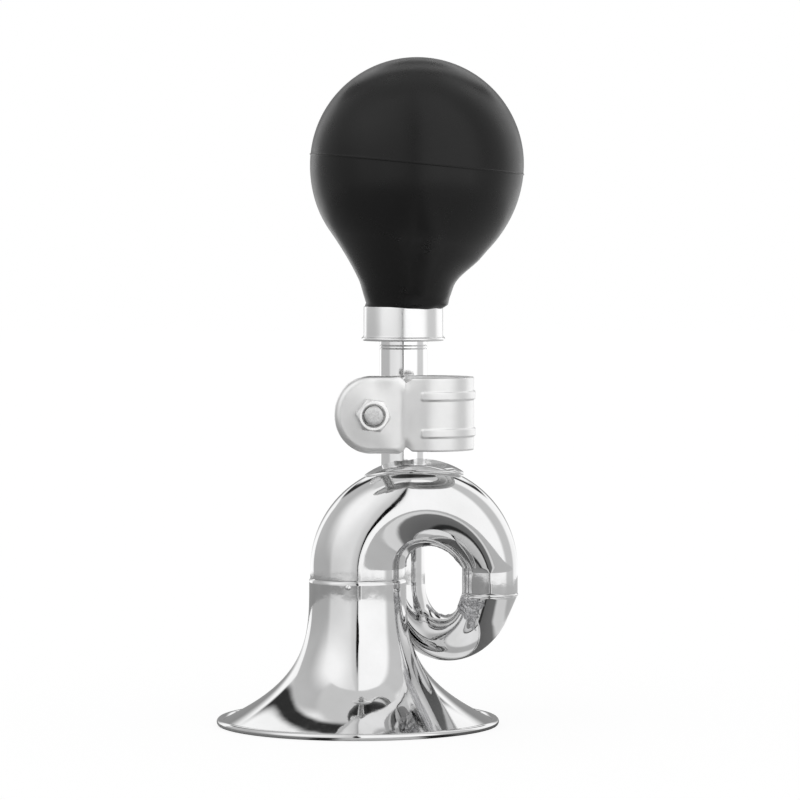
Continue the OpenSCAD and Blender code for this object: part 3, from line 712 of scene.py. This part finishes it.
bm = bmesh.new()
bmesh.ops.create_circle(bm, cap_ends=True, segments=144, radius=1.0)
for _ in range(PLATE_RINGS):
    face = max(bm.faces, key=lambda f: f.calc_area() if len(f.verts) > 4 else 0)
    bmesh.ops.inset_region(bm, faces=[face], thickness=PLATE_RING_W, use_even_offset=True)
for v in bm.verts:
    x = v.co.x * PLATE_HALF
    y = v.co.y * (PLATE_FRONT if v.co.y < 0 else PLATE_BACK)
    edge = 1 - v.co.xy.length
    rolled = 0.12 * (1 - eased(edge / 0.08))
    v.co = (BEND_X + x, BEND_Y + y, BEND_Z + plate_height(x, y) + PLATE_T - rolled)
bmesh.ops.recalc_face_normals(bm, faces=bm.faces)
seated(
    bm, "saddle_plate_pressed", chrome, ("saddle_plate",), crisp=50, wall=PLATE_T - 0.05,
)

# The rubber bulb

FLANK_START = math.radians(41)
FOOT_SHIFT = 0.9  # the bulb sits a little to the right on its collar
HOLLOW, HOLLOW_MID, HOLLOW_HALF = 1.75, 7.8, 7.0  # and is drawn in above it on that side
LIP_H = 3.0  # height of the soft lip that sags over the collar


def bezier(a, b, c, d, t):
    """A point of the curve from a to d, which leaves towards b and comes in from c."""
    return (1 - t) ** 3 * a + 3 * (1 - t) ** 2 * t * b + 3 * (1 - t) * t * t * c + t**3 * d


def bulb_outline(inset, dome=56, low=28, flank=40):
    """The bulb from its top down: a round dome, an oval under the waist and a hollow flank."""
    wide, deep = BULB_R - inset, BULB_LOW - inset
    start = Vector((wide * math.cos(FLANK_START), -deep * math.sin(FLANK_START)))
    foot = Vector((BULB_FOOT_R - inset, -BULB_RISE))
    slope = Vector((-wide * math.sin(FLANK_START), -deep * math.cos(FLANK_START))).normalized()
    line = []
    for i in range(dome):
        turn = math.pi / 2 * (1 - i / dome)
        line.append(Vector((wide * math.cos(turn), wide * math.sin(turn))))
    for i in range(low):
        turn = FLANK_START * i / low
        line.append(Vector((wide * math.cos(turn), -deep * math.sin(turn))))
    for i in range(flank + 1):
        line.append(bezier(start, start + 6 * slope, foot + Vector((2.3, 6)), foot, i / flank))
    return [(max(p.x, 0.0), COLLAR_TOP + BULB_RISE + p.y) for p in line]


waist = COLLAR_TOP + BULB_RISE
foot_z = COLLAR_TOP + SEAT
outer = bulb_outline(0)
upper_half = [p for p in outer if p[1] > waist + 0.45]
lower_half = [p for p in outer if foot_z + 0.5 < p[1] < waist - 0.45]
flash_line = [
    (BULB_R + 0.01, waist + 0.36), (BULB_R + 0.04, waist + 0.2), (BULB_R + FLASH * 0.9, waist + 0.1),
    (BULB_R + FLASH * 0.9, waist - 0.1), (BULB_R + 0.04, waist - 0.2), (BULB_R + 0.01, waist - 0.36),
]
plug_r = COLLAR_R - COLLAR_WALL - SEAT
foot = [
    (BULB_FOOT_R - 0.05, foot_z + 0.3), (BULB_FOOT_R - 0.25, foot_z + 0.02), (plug_r, foot_z),
    (plug_r, COLLAR_Z + COLLAR_WALL + SEAT), (NECK_R + SEAT, COLLAR_Z + COLLAR_WALL + SEAT),
    (NECK_R + SEAT, NECK_TOP + 0.2),
]
inner = [p for p in bulb_outline(BULB_WALL, 24, 12, 16) if p[1] > NECK_TOP + 0.2]
bm = spun(upper_half + flash_line + lower_half + foot + inner[::-1], 224)
for v in bm.verts:
    turn = math.atan2(v.co.y, v.co.x)
    reach = v.co.xy.length
    above = v.co.z - foot_z
    if reach > plug_r + 0.1 and -0.01 < above < LIP_H:
        # the lip sags unevenly over the collar's edge, most at the front right
        uneven = noise.noise(Vector((2.2 * math.cos(turn), 2.2 * math.sin(turn), 3.0)))
        sag = max(0.35 + 0.45 * math.cos(turn + 0.9) + 0.3 * uneven, 0.0)
        fade = 1 - eased(above / LIP_H)
        v.co.z -= sag * fade
        v.co.xy = v.co.xy * (1 + (0.022 if above < 1.4 else 0.022 * fade) * sag)
    v.co.x += FOOT_SHIFT * eased(above / 0.8) * (1 - eased((above - 1) / 24))
    v.co.x -= HOLLOW * max(math.cos(turn), 0) ** 2 * eased(1 - abs(above - HOLLOW_MID) / HOLLOW_HALF)
    lean = BULB_LEAN * eased((v.co.z - COLLAR_TOP) / 6.0)
    x, z = v.co.x, v.co.z - COLLAR_TOP
    v.co.x = x * math.cos(lean) + z * math.sin(lean)
    v.co.z = COLLAR_TOP + z * math.cos(lean) - x * math.sin(lean)
bulb = seated(bm, "bulb_moulded", bulb_rubber, ("bulb",), crisp=60)
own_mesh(bulb)

# The handlebar band

CREASE_R = 6.0
EAR_FRONT, EAR_REAR, EAR_REAR_R, BAND_SIDE = 9.6, 7.6, 9.2, 9.5
FLANGE_H = 0.35
crease_mid_x = -math.sqrt((BAND_OUT_R + CREASE_R) ** 2 - (EAR_Y + CREASE_R) ** 2)
crease_mid_y = EAR_Y + CREASE_R
crease_turn = math.degrees(math.atan2(crease_mid_y, crease_mid_x))
band_line = walked([
    (-BAND_REACH - EAR_FRONT, -EAR_Y, 0, -1),
    (crease_mid_x, -crease_mid_y, CREASE_R, 90, 180 - crease_turn, -1),
    (0, 0, BAND_OUT_R, -crease_turn, crease_turn, 1),
    (crease_mid_x, crease_mid_y, CREASE_R, crease_turn - 180, -90, -1),
    (-BAND_REACH - EAR_REAR, EAR_Y, 0, 1),
])
CREASE_FAR = BAND_REACH - CREASE_X
RIB_FAR = CREASE_FAR + 4.0
RIB_W, RIB_H, RIB_MID = 2.5, 0.4, 4.8
EDGE_ROUND, DISH, DISH_WIDE = 1.6, 0.5, 7.0


def from_bolt(far, length):
    """Distance along the strip from the nearer ear's bolt, negative out to the ear's tip."""
    return min(far - EAR_FRONT, length - far - EAR_REAR)


def ear_size(far, length):
    """Length and half height of the nearer ear, from its bolt to its tip."""
    return (EAR_FRONT, EAR_R) if far < length / 2 else (EAR_REAR, EAR_REAR_R)


def band_half_height(far, length):
    """Half the strip's height: rounded ears, a notch at each crease and the straight loop."""
    side = from_bolt(far, length)
    tip, ear = ear_size(far, length)
    if side < 0:
        return max(ear * math.sqrt(max(1 - (side / tip) ** 2, 0.0)), 1e-4)
    notch = max(0.0, 1 - abs(side - CREASE_FAR) / 1.7)
    half = ear + (BAND_SIDE - ear) * eased((side - CREASE_FAR + 1) / 2)
    return half - 1.45 * notch**1.3


def band_lift(far, z, length):
    """How far the press lifts the sheet: dished ears with a rolled edge, dimples and ribs."""
    side = from_bolt(far, length)
    tip, ear = ear_size(far, length)
    height = band_half_height(far, length)
    inset = ear * (1 - math.hypot(side / tip, z / ear)) if side < 0 else height - abs(z)
    on_ear = 1 - eased((side - CREASE_FAR + 4.0) / 4.4)
    near = max(EDGE_ROUND - max(inset, 0), 0)
    rolled = EDGE_ROUND - math.sqrt(max(EDGE_ROUND**2 - near**2, 0))
    dish = DISH * (1 - eased(inset / DISH_WIDE)) * (1 - eased(side / 6))
    dimple = 0.4 * math.exp(-(((side - CREASE_FAR) / 1.7) ** 2) - ((height - abs(z)) / 1.6) ** 2)
    end = eased((side - RIB_FAR) / 0.5)
    across = abs(abs(z) - RIB_MID)
    rib = RIB_H * end * (1 - eased((across - RIB_W / 2 + 0.4) / 0.42))
    corner = math.hypot(max(RIB_FAR + 1.3 - side, 0), max(across - RIB_W / 2 + 1.1, 0))
    rib *= 1 - eased((corner - 0.9) / 0.5)
    edge_soft = 0.16 * (1 - eased(inset / 0.35)) * (1 - on_ear)
    beaten = 0.012 * noise.noise(Vector((far * 0.18, z * 0.18, 2.0)))
    return -rolled * on_ear - dish - dimple + rib - edge_soft + beaten


def on_ear_rim(edge, sign):
    """Whether an open edge is on the rim of the front (-1) or rear (1) ear, and not of its hole."""
    return edge.is_boundary and all(
        v.co.y * sign > EAR_Y - 3.0 and v.co.x < -CREASE_X - 2.4
        and math.hypot(v.co.x + BAND_REACH, v.co.z) > 2 * BOLT_R for v in edge.verts
    )


bm = pressed(band_line, band_half_height, (EAR_FRONT, EAR_REAR), band_lift, 380, 104, HOLE_R)
for sign in (-1, 1):
    # the ear's rim is turned over towards the other ear
    flange = extruded(bm, [e for e in bm.edges if on_ear_rim(e, sign)])
    bmesh.ops.translate(bm, vec=(0, -sign * FLANGE_H, 0), verts=flange)
seated(
    bm, "handlebar_band_pressed", band_zinc, ("handlebar_band",), "band", BAND,
    crisp=65, wall=BAND_T - 0.05,
)

# The clip round the neck

CLIP_REAR_EAR, CLIP_BEND = 5.2, 1.5
clip_r = NECK_R + RUNNING + CLIP_T / 2
clip_front = BAND_Y + EAR_Y + RUNNING + WASHER_T + CLIP_T / 2
clip_rear = CLIP_REAR_Y - CLIP_T / 2
corner_x, corner_y = -CLIP_REACH / 2, clip_front + CLIP_BEND
clip_slope = math.degrees(
    math.atan2(-corner_y, -corner_x) - math.asin((clip_r - CLIP_BEND) / math.hypot(corner_x, corner_y))
)
wrap_end = 180 - math.degrees(math.asin((clip_rear + CLIP_BEND) / (clip_r + CLIP_BEND)))
rear_x = (clip_r + CLIP_BEND) * math.cos(math.radians(wrap_end))
half_t = CLIP_T / 2
clip_line = walked([
    (-CLIP_REACH - CLIP_HALF, clip_front - half_t, 0, -1),
    (corner_x, corner_y, CLIP_BEND + half_t, -90, clip_slope - 90, 1),
    (0, 0, clip_r + half_t, clip_slope - 90, wrap_end, 1),
    (rear_x, clip_rear + CLIP_BEND, CLIP_BEND - half_t, wrap_end + 180, 270, -1),
    (-CLIP_REACH - CLIP_REAR_EAR, clip_rear + half_t, 0, 1),
])


def clip_end(far, length):
    """Distance from the nearer end of the clip, and that ear's length."""
    return min((far, CLIP_HALF), (length - far, CLIP_REAR_EAR))


def clip_half_height(far, length):
    """Half the clip's height: a straight strip with a rounded ear at each end."""
    side, ear = clip_end(far, length)
    if side < ear:
        return max(CLIP_HALF * math.sqrt(max(1 - (1 - side / ear) ** 2, 0.0)), 1e-4)
    return CLIP_HALF


def clip_lift(far, z, length):
    """The clip's edges are worn round, and its face is a little uneven."""
    side, ear = clip_end(far, length)
    inset = CLIP_HALF * (1 - math.hypot(max(1 - side / ear, 0), z / CLIP_HALF))
    return -0.16 * (1 - eased(inset / 0.3)) + 0.02 * noise.noise(Vector((far * 0.3, z * 0.3, 9.0)))


seated(
    pressed(clip_line, clip_half_height, (CLIP_HALF, CLIP_REAR_EAR), clip_lift, 260, 56, HOLE_R),
    "neck_clip_pressed", band_zinc, ("neck_clip",), "clip", CLAMP,
    crisp=60, wall=CLIP_T - 0.02,
)

# The bolt, the nut and the washers, by their height along the bolt

washer_top = -(BAND_Y + EAR_Y) - RUNNING
nut_low = -(BAND_Y - EAR_Y) + RUNNING
bolt_tip = nut_low + NUT_H + 1.2
thread_low = bolt_tip - THREAD_LENGTH
spring_low = -CLIP_REAR_Y - SPRING_T
NUT_BORE_R, CORE_R = BOLT_R + 0.12, 2.1


def turned_to(z, degrees):
    """A place on the bolt's axis, turned about it."""
    return BOLT @ Matrix.Translation((0, 0, z)) @ Matrix.Rotation(math.radians(degrees), 4, "Z")


def edges_broken(piece):
    """Takes the sharpness off a turned piece's edges."""
    soft = piece.modifiers.new("broken edges", "BEVEL")
    soft.width = 0.1 * MM
    soft.segments = 2
    soft.limit_method = "ANGLE"
    soft.angle_limit = math.radians(25)


def washer(low, high, radius, bore):
    """A stamped ring with its edges broken."""
    soft = 0.12
    return spun([
        (bore, low + soft), (bore + soft, low), (radius - soft, low), (radius, low + soft),
        (radius, high - soft), (radius - soft, high), (bore + soft, high), (bore, high - soft),
    ], 96)


seated(
    washer(washer_top - WASHER_T, washer_top, WASHER_R, HOLE_R), "plain_washer_stamped", steel_zinc,
    ("plain_washer",), "clip", BOLT, crisp=50,
)

# The spring washer is one turn of square wire, cut through and twisted a little apart
TWIST, SPRING_STEPS = 0.16, 72
bm = bmesh.new()
wire = [
    (NUT_BORE_R, 0.15), (SPRING_R - 0.15, 0.15), (SPRING_R, 0.3), (SPRING_R, SPRING_T - 0.3),
    (SPRING_R - 0.15, SPRING_T - 0.15), (NUT_BORE_R, SPRING_T - 0.15),
]
face = bm.faces.new([bm.verts.new((r, 0, spring_low + z - TWIST / 2)) for r, z in wire])
bmesh.ops.spin(
    bm, geom=[face], cent=(0, 0, 0), axis=(0, 0, 1), dvec=(0, 0, TWIST / SPRING_STEPS),
    angle=math.radians(349), steps=SPRING_STEPS, use_merge=False,
)
bmesh.ops.recalc_face_normals(bm, faces=bm.faces)
seated(
    bm, "spring_washer_coiled", steel_zinc, ("spring_washer",), "clip", BOLT, crisp=40,
)

edges_broken(seated(
    hexagon(NUT_H, 1, 1, bore=NUT_BORE_R), "nut_turned", steel_zinc, ("clamp_nut",),
    "nut", turned_to(nut_low, 30 - NUT_TURN), crisp=25,
))
edges_broken(seated(
    hexagon(HEAD_H, 1, 0), "bolt_head", steel_zinc, ("clamp_bolt",),
    "bolt", turned_to(spring_low - HEAD_H, 30), crisp=25,
))

seated(
    spun([
        (0, spring_low - 0.3), (BOLT_R, spring_low - 0.3), (BOLT_R, thread_low), (CORE_R, thread_low + 0.4),
        (CORE_R, bolt_tip - 0.6), (0, bolt_tip - 0.6),
    ], 64),
    "bolt_shank", steel_zinc, body="bolt", place=BOLT, crisp=30,
)
seated(
    cut_thread(thread_low, bolt_tip, BOLT_R - 0.02, THREAD_ROOT_R, THREAD_PITCH), "bolt_thread",
    steel_zinc, body="bolt", place=BOLT, crisp=30,
)
bm = spun(
    [(0, bolt_tip - 0.8), (2.36, bolt_tip - 0.8), (2.36, bolt_tip - 0.42), (2.2, bolt_tip - 0.16),
     (1.9, bolt_tip - 0.03), (1.2, bolt_tip), (0.6, bolt_tip), (0, bolt_tip)], 96,
)
for v in bm.verts:
    if v.co.z > bolt_tip - 0.3:
        v.co.z += 0.05 * noise.noise(v.co * 1.1)
seated(bm, "bolt_tip_cropped", bolt_end, body="bolt", place=BOLT, crisp=60)

# The reed's nodes are kept from the model

for node, material in (
    ("reed_bush", bush_rubber), ("reed_body", reed_brass), ("reed_wedge", reed_brass),
    ("reed_tongue", tongue_brass),
):
    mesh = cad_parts[node].data
    mesh.materials.clear()
    mesh.materials.append(material)

# The floor, the table and the gap in the tent, in metres

ONLY_METAL = ("camera", "diffuse", "shadow", "transmission")  # rays that miss what metal alone shows
TABLE_R, TABLE_Z, TABLE_GREYS_HALF = 0.465, 0.00015, 0.1
GAP_Y = -0.47
GLOW_SHARE = 0.80


def is_ray(tree, kind):
    """1 for rays of a kind, such as the camera's, and 0 for all others."""
    return tree.nodes.new("ShaderNodeLightPath").outputs[kind]


def grey_ramp(tree, fac, stops):
    """Greys along a factor, from stops of (position, grey)."""
    node = tree.nodes.new("ShaderNodeValToRGB")
    ramp = node.color_ramp
    ramp.interpolation = "EASE"
    while len(ramp.elements) < len(stops):
        ramp.elements.new(0.5)
    for element, (position, grey) in zip(ramp.elements, stops):
        element.position = position
        element.color = (grey, grey, grey, 1)
    tree.links.new(fac, node.inputs["Fac"])
    return node.outputs["Color"]


def matt_paint(name, grey):
    """Paint without any gloss."""
    paint = bpy.data.materials.new(name)
    paint.use_nodes = True
    shader = paint.node_tree.nodes["Principled BSDF"]
    shader.inputs["Base Color"].default_value = (grey, grey, grey, 1)
    shader.inputs["Roughness"].default_value = 0.9
    shader.inputs["Specular IOR Level"].default_value = 0.0
    return paint


def stage_piece(bm, name, paint, hidden_from):
    """Sets up a piece of the stage, hidden from some kinds of ray."""
    mesh = bpy.data.meshes.new(name)
    bm.to_mesh(mesh)
    bm.free()
    mesh.materials.append(paint)
    piece = bpy.data.objects.new(name, mesh)
    bpy.context.scene.collection.objects.link(piece)
    for ray in hidden_from:
        setattr(piece, "visible_" + ray, False)


# To the camera the floor mostly glows, so it is white and shows the horn's shadow only faintly
floor_paint = matt_paint("white floor", 0.9)
tree = floor_paint.node_tree
glow = tree.nodes.new("ShaderNodeEmission")
glow.inputs["Color"].default_value = (1, 1, 1, 1)
glow.inputs["Strength"].default_value = 1.04
mix = tree.nodes.new("ShaderNodeMixShader")
seen = tree.nodes.new("ShaderNodeMath")
seen.operation = "MULTIPLY"
seen.inputs[1].default_value = GLOW_SHARE
tree.links.new(is_ray(tree, "Is Camera Ray"), seen.inputs[0])
tree.links.new(seen.outputs["Value"], mix.inputs["Fac"])
tree.links.new(tree.nodes["Principled BSDF"].outputs["BSDF"], mix.inputs[1])
tree.links.new(glow.outputs["Emission"], mix.inputs[2])
tree.links.new(mix.outputs["Shader"], tree.nodes["Material Output"].inputs["Surface"])

bm = bmesh.new()
bmesh.ops.create_grid(bm, x_segments=1, y_segments=1, size=4.0)
stage_piece(bm, "floor", floor_paint, ("glossy",))

# The table that metal alone shows, in greys from left to right: it ends where the tent begins
table_paint = matt_paint("table", 0.6)
tree = table_paint.node_tree
across = tree.nodes.new("ShaderNodeSeparateXYZ")
tree.links.new(tree.nodes.new("ShaderNodeTexCoord").outputs["Object"], across.inputs["Vector"])
widths = tree.nodes.new("ShaderNodeMapRange")
widths.inputs["From Min"].default_value = -TABLE_GREYS_HALF
widths.inputs["From Max"].default_value = TABLE_GREYS_HALF
tree.links.new(across.outputs["X"], widths.inputs["Value"])
greys = grey_ramp(tree, widths.outputs["Result"], [
    (0, 0.34), (0.41, 0.30), (0.43, 0.04), (0.445, 0.04), (0.465, 0.66), (0.56, 0.74), (0.58, 0.03),
    (0.60, 0.03), (0.62, 0.17), (0.74, 0.20), (0.78, 0.88), (0.86, 0.88), (0.89, 0.58), (1.0, 0.6),
])
tree.links.new(greys, tree.nodes["Principled BSDF"].inputs["Base Color"])
bm = bmesh.new()
bmesh.ops.create_circle(bm, cap_ends=True, segments=96, radius=TABLE_R)
bmesh.ops.translate(bm, vec=(0, 0, TABLE_Z), verts=bm.verts)
stage_piece(bm, "table", table_paint, ONLY_METAL)

# The dark gap in the tent's front, which metal alone shows: a card of (height, half width) in mm
gap = [(0, 8), (30, 8), (60, 12), (85, 20), (200, 20), (260, 10), (320, 9)]
bm = bmesh.new()
left, right = ([bm.verts.new((s * w * MM, GAP_Y, z * MM)) for z, w in gap] for s in (-1, 1))
for i in range(len(gap) - 1):
    bm.faces.new((left[i], right[i], right[i + 1], left[i + 1]))
stage_piece(bm, "tent_slit", matt_paint("tent_slit", 0.004), ONLY_METAL)

# The tent as metal shows it, in degrees round the horn and above the table

world = bpy.data.worlds.new("tent")
bpy.context.scene.world = world
world.use_nodes = True
tree = world.node_tree
nodes, links = tree.nodes, tree.links


def calc(operation, *values):
    """A sum of numbers and of what other nodes give."""
    node = nodes.new("ShaderNodeMath")
    node.operation = operation
    for socket, value in zip(node.inputs, values):
        if isinstance(value, (int, float)):
            socket.default_value = value
        else:
            links.new(value, socket)
    return node.outputs["Value"]


def inverse(mask):
    """1 where a mask is 0, and 0 where it is 1."""
    return calc("SUBTRACT", 1.0, mask)


def stepped(value, low, high):
    """0 below the low value and 1 above the high one, with a soft step between them."""
    node = nodes.new("ShaderNodeMapRange")
    node.interpolation_type = "SMOOTHSTEP"
    node.inputs["From Min"].default_value = low
    node.inputs["From Max"].default_value = high
    links.new(value, node.inputs["Value"])
    return node.outputs["Result"]


def over(below, mask, grey):
    """Lays a grey over what is below it, where a mask is 1."""
    node = nodes.new("ShaderNodeMix")
    node.data_type = "RGBA"
    links.new(mask, node.inputs["Factor"])
    links.new(below, node.inputs["A"])
    node.inputs["B"].default_value = (grey, grey, grey, 1)
    return node.outputs["Result"]


# Degrees round the horn from its front and from its back, to the right, and degrees up
direction = nodes.new("ShaderNodeSeparateXYZ")
links.new(nodes.new("ShaderNodeTexCoord").outputs["Generated"], direction.inputs["Vector"])
x, y, z = (direction.outputs[name] for name in "XYZ")
DEG = 180 / math.pi
turn = calc("MULTIPLY", calc("ARCTAN2", x, calc("MULTIPLY", y, -1.0)), DEG)
back_turn = calc("MULTIPLY", calc("ARCTAN2", x, y), DEG)
rise = calc("MULTIPLY", calc("ARCSINE", z), DEG)


def patch(tent, around, middle, height, half_wide, half_high, grey, soft):
    """An oval of grey on the tent, with a soft outline."""
    across = calc("DIVIDE", calc("SUBTRACT", around, middle), half_wide)
    up = calc("DIVIDE", calc("SUBTRACT", rise, height), half_high)
    off = calc("SQRT", calc("ADD", calc("MULTIPLY", across, across), calc("MULTIPLY", up, up)))
    return over(tent, inverse(stepped(off, 1 - soft, 1 + soft)), grey)


walls = [
    (-180, 1.0), (-152, 0.97), (-134, 0.50), (-78, 0.44), (-64, 0.66), (-20, 0.74), (-8, 0.62), (-2, 0.52),
    (5, 1.0), (64, 1.0), (78, 0.56), (106, 0.56), (120, 0.97), (180, 1.0),
]
full_turn = calc("ADD", calc("DIVIDE", turn, 360.0), 0.5)
tent = grey_ramp(tree, full_turn, [(angle / 360 + 0.5, grey) for angle, grey in walls])
# the left wall, in shade low down, and a soft lamp higher up on it
left_wall = calc("MULTIPLY", stepped(turn, -160.0, -130.0), inverse(stepped(turn, -80.0, -62.0)))
tent = over(tent, calc("MULTIPLY", inverse(stepped(rise, -2.0, 14.0)), left_wall), 0.42)
tent = patch(tent, turn, -58, 46, 34, 30, 0.98, 0.7)
# the grey roof
tent = over(tent, calc("MULTIPLY", stepped(rise, 60.0, 66.0), stepped(y, -0.15, -0.11)), 0.60)
# at the back a white window in a dark arch, and white under it, with a beam and a grey strip
tent = patch(tent, back_turn, 0, 40, 43, 26, 0.03, 0.08)
tent = patch(tent, back_turn, 1, 39, 30, 19, 0.97, 0.10)
back_wall = inverse(stepped(calc("ABSOLUTE", back_turn), 42.0, 46.0))
tent = over(tent, calc("MULTIPLY", back_wall, inverse(stepped(rise, 23.0, 27.0))), 0.99)
tent = patch(tent, back_turn, 0, 37, 15, 7, 0.03, 0.2)
tent = patch(tent, back_turn, 0, 10, 24, 14, 0.26, 0.35)
# the camera's stand, in front
tent = patch(tent, turn, -1.2, 30, 2.4, 30, 0.01, 0.35)


def backdrop(strength, colour=None):
    """A background of the world, white where no colour is linked to it."""
    node = nodes.new("ShaderNodeBackground")
    node.inputs["Color"].default_value = (1, 1, 1, 1)
    node.inputs["Strength"].default_value = strength
    if colour is not None:
        links.new(colour, node.inputs["Color"])
    return node.outputs["Background"]


def shown_to(kind, shown, otherwise):
    """Shows one thing to rays of a kind, and the other thing to all the rest."""
    node = nodes.new("ShaderNodeMixShader")
    links.new(is_ray(tree, kind), node.inputs["Fac"])
    links.new(otherwise, node.inputs[1])
    links.new(shown, node.inputs[2])
    return node.outputs["Shader"]


lit = shown_to("Is Glossy Ray", backdrop(1.2, tent), backdrop(0.95))
lit = shown_to("Is Camera Ray", backdrop(1.0), lit)
links.new(lit, nodes["World Output"].inputs["Surface"])

# The camera, fitted to the photograph's view

CAMERA_PLACE, CAMERA_DIP = (0.00759, -1.08693, 0.1319), 2.45
lens = bpy.data.cameras.new("camera")
lens.lens = 185.4
lens.sensor_width = 36.0
lens.clip_end = 20.0
camera = bpy.data.objects.new("camera", lens)
camera.location = CAMERA_PLACE
camera.rotation_euler = (math.radians(90 - CAMERA_DIP), 0, 0)
bpy.context.scene.collection.objects.link(camera)
bpy.context.scene.camera = camera
bpy.context.scene.view_settings.view_transform = "Standard"
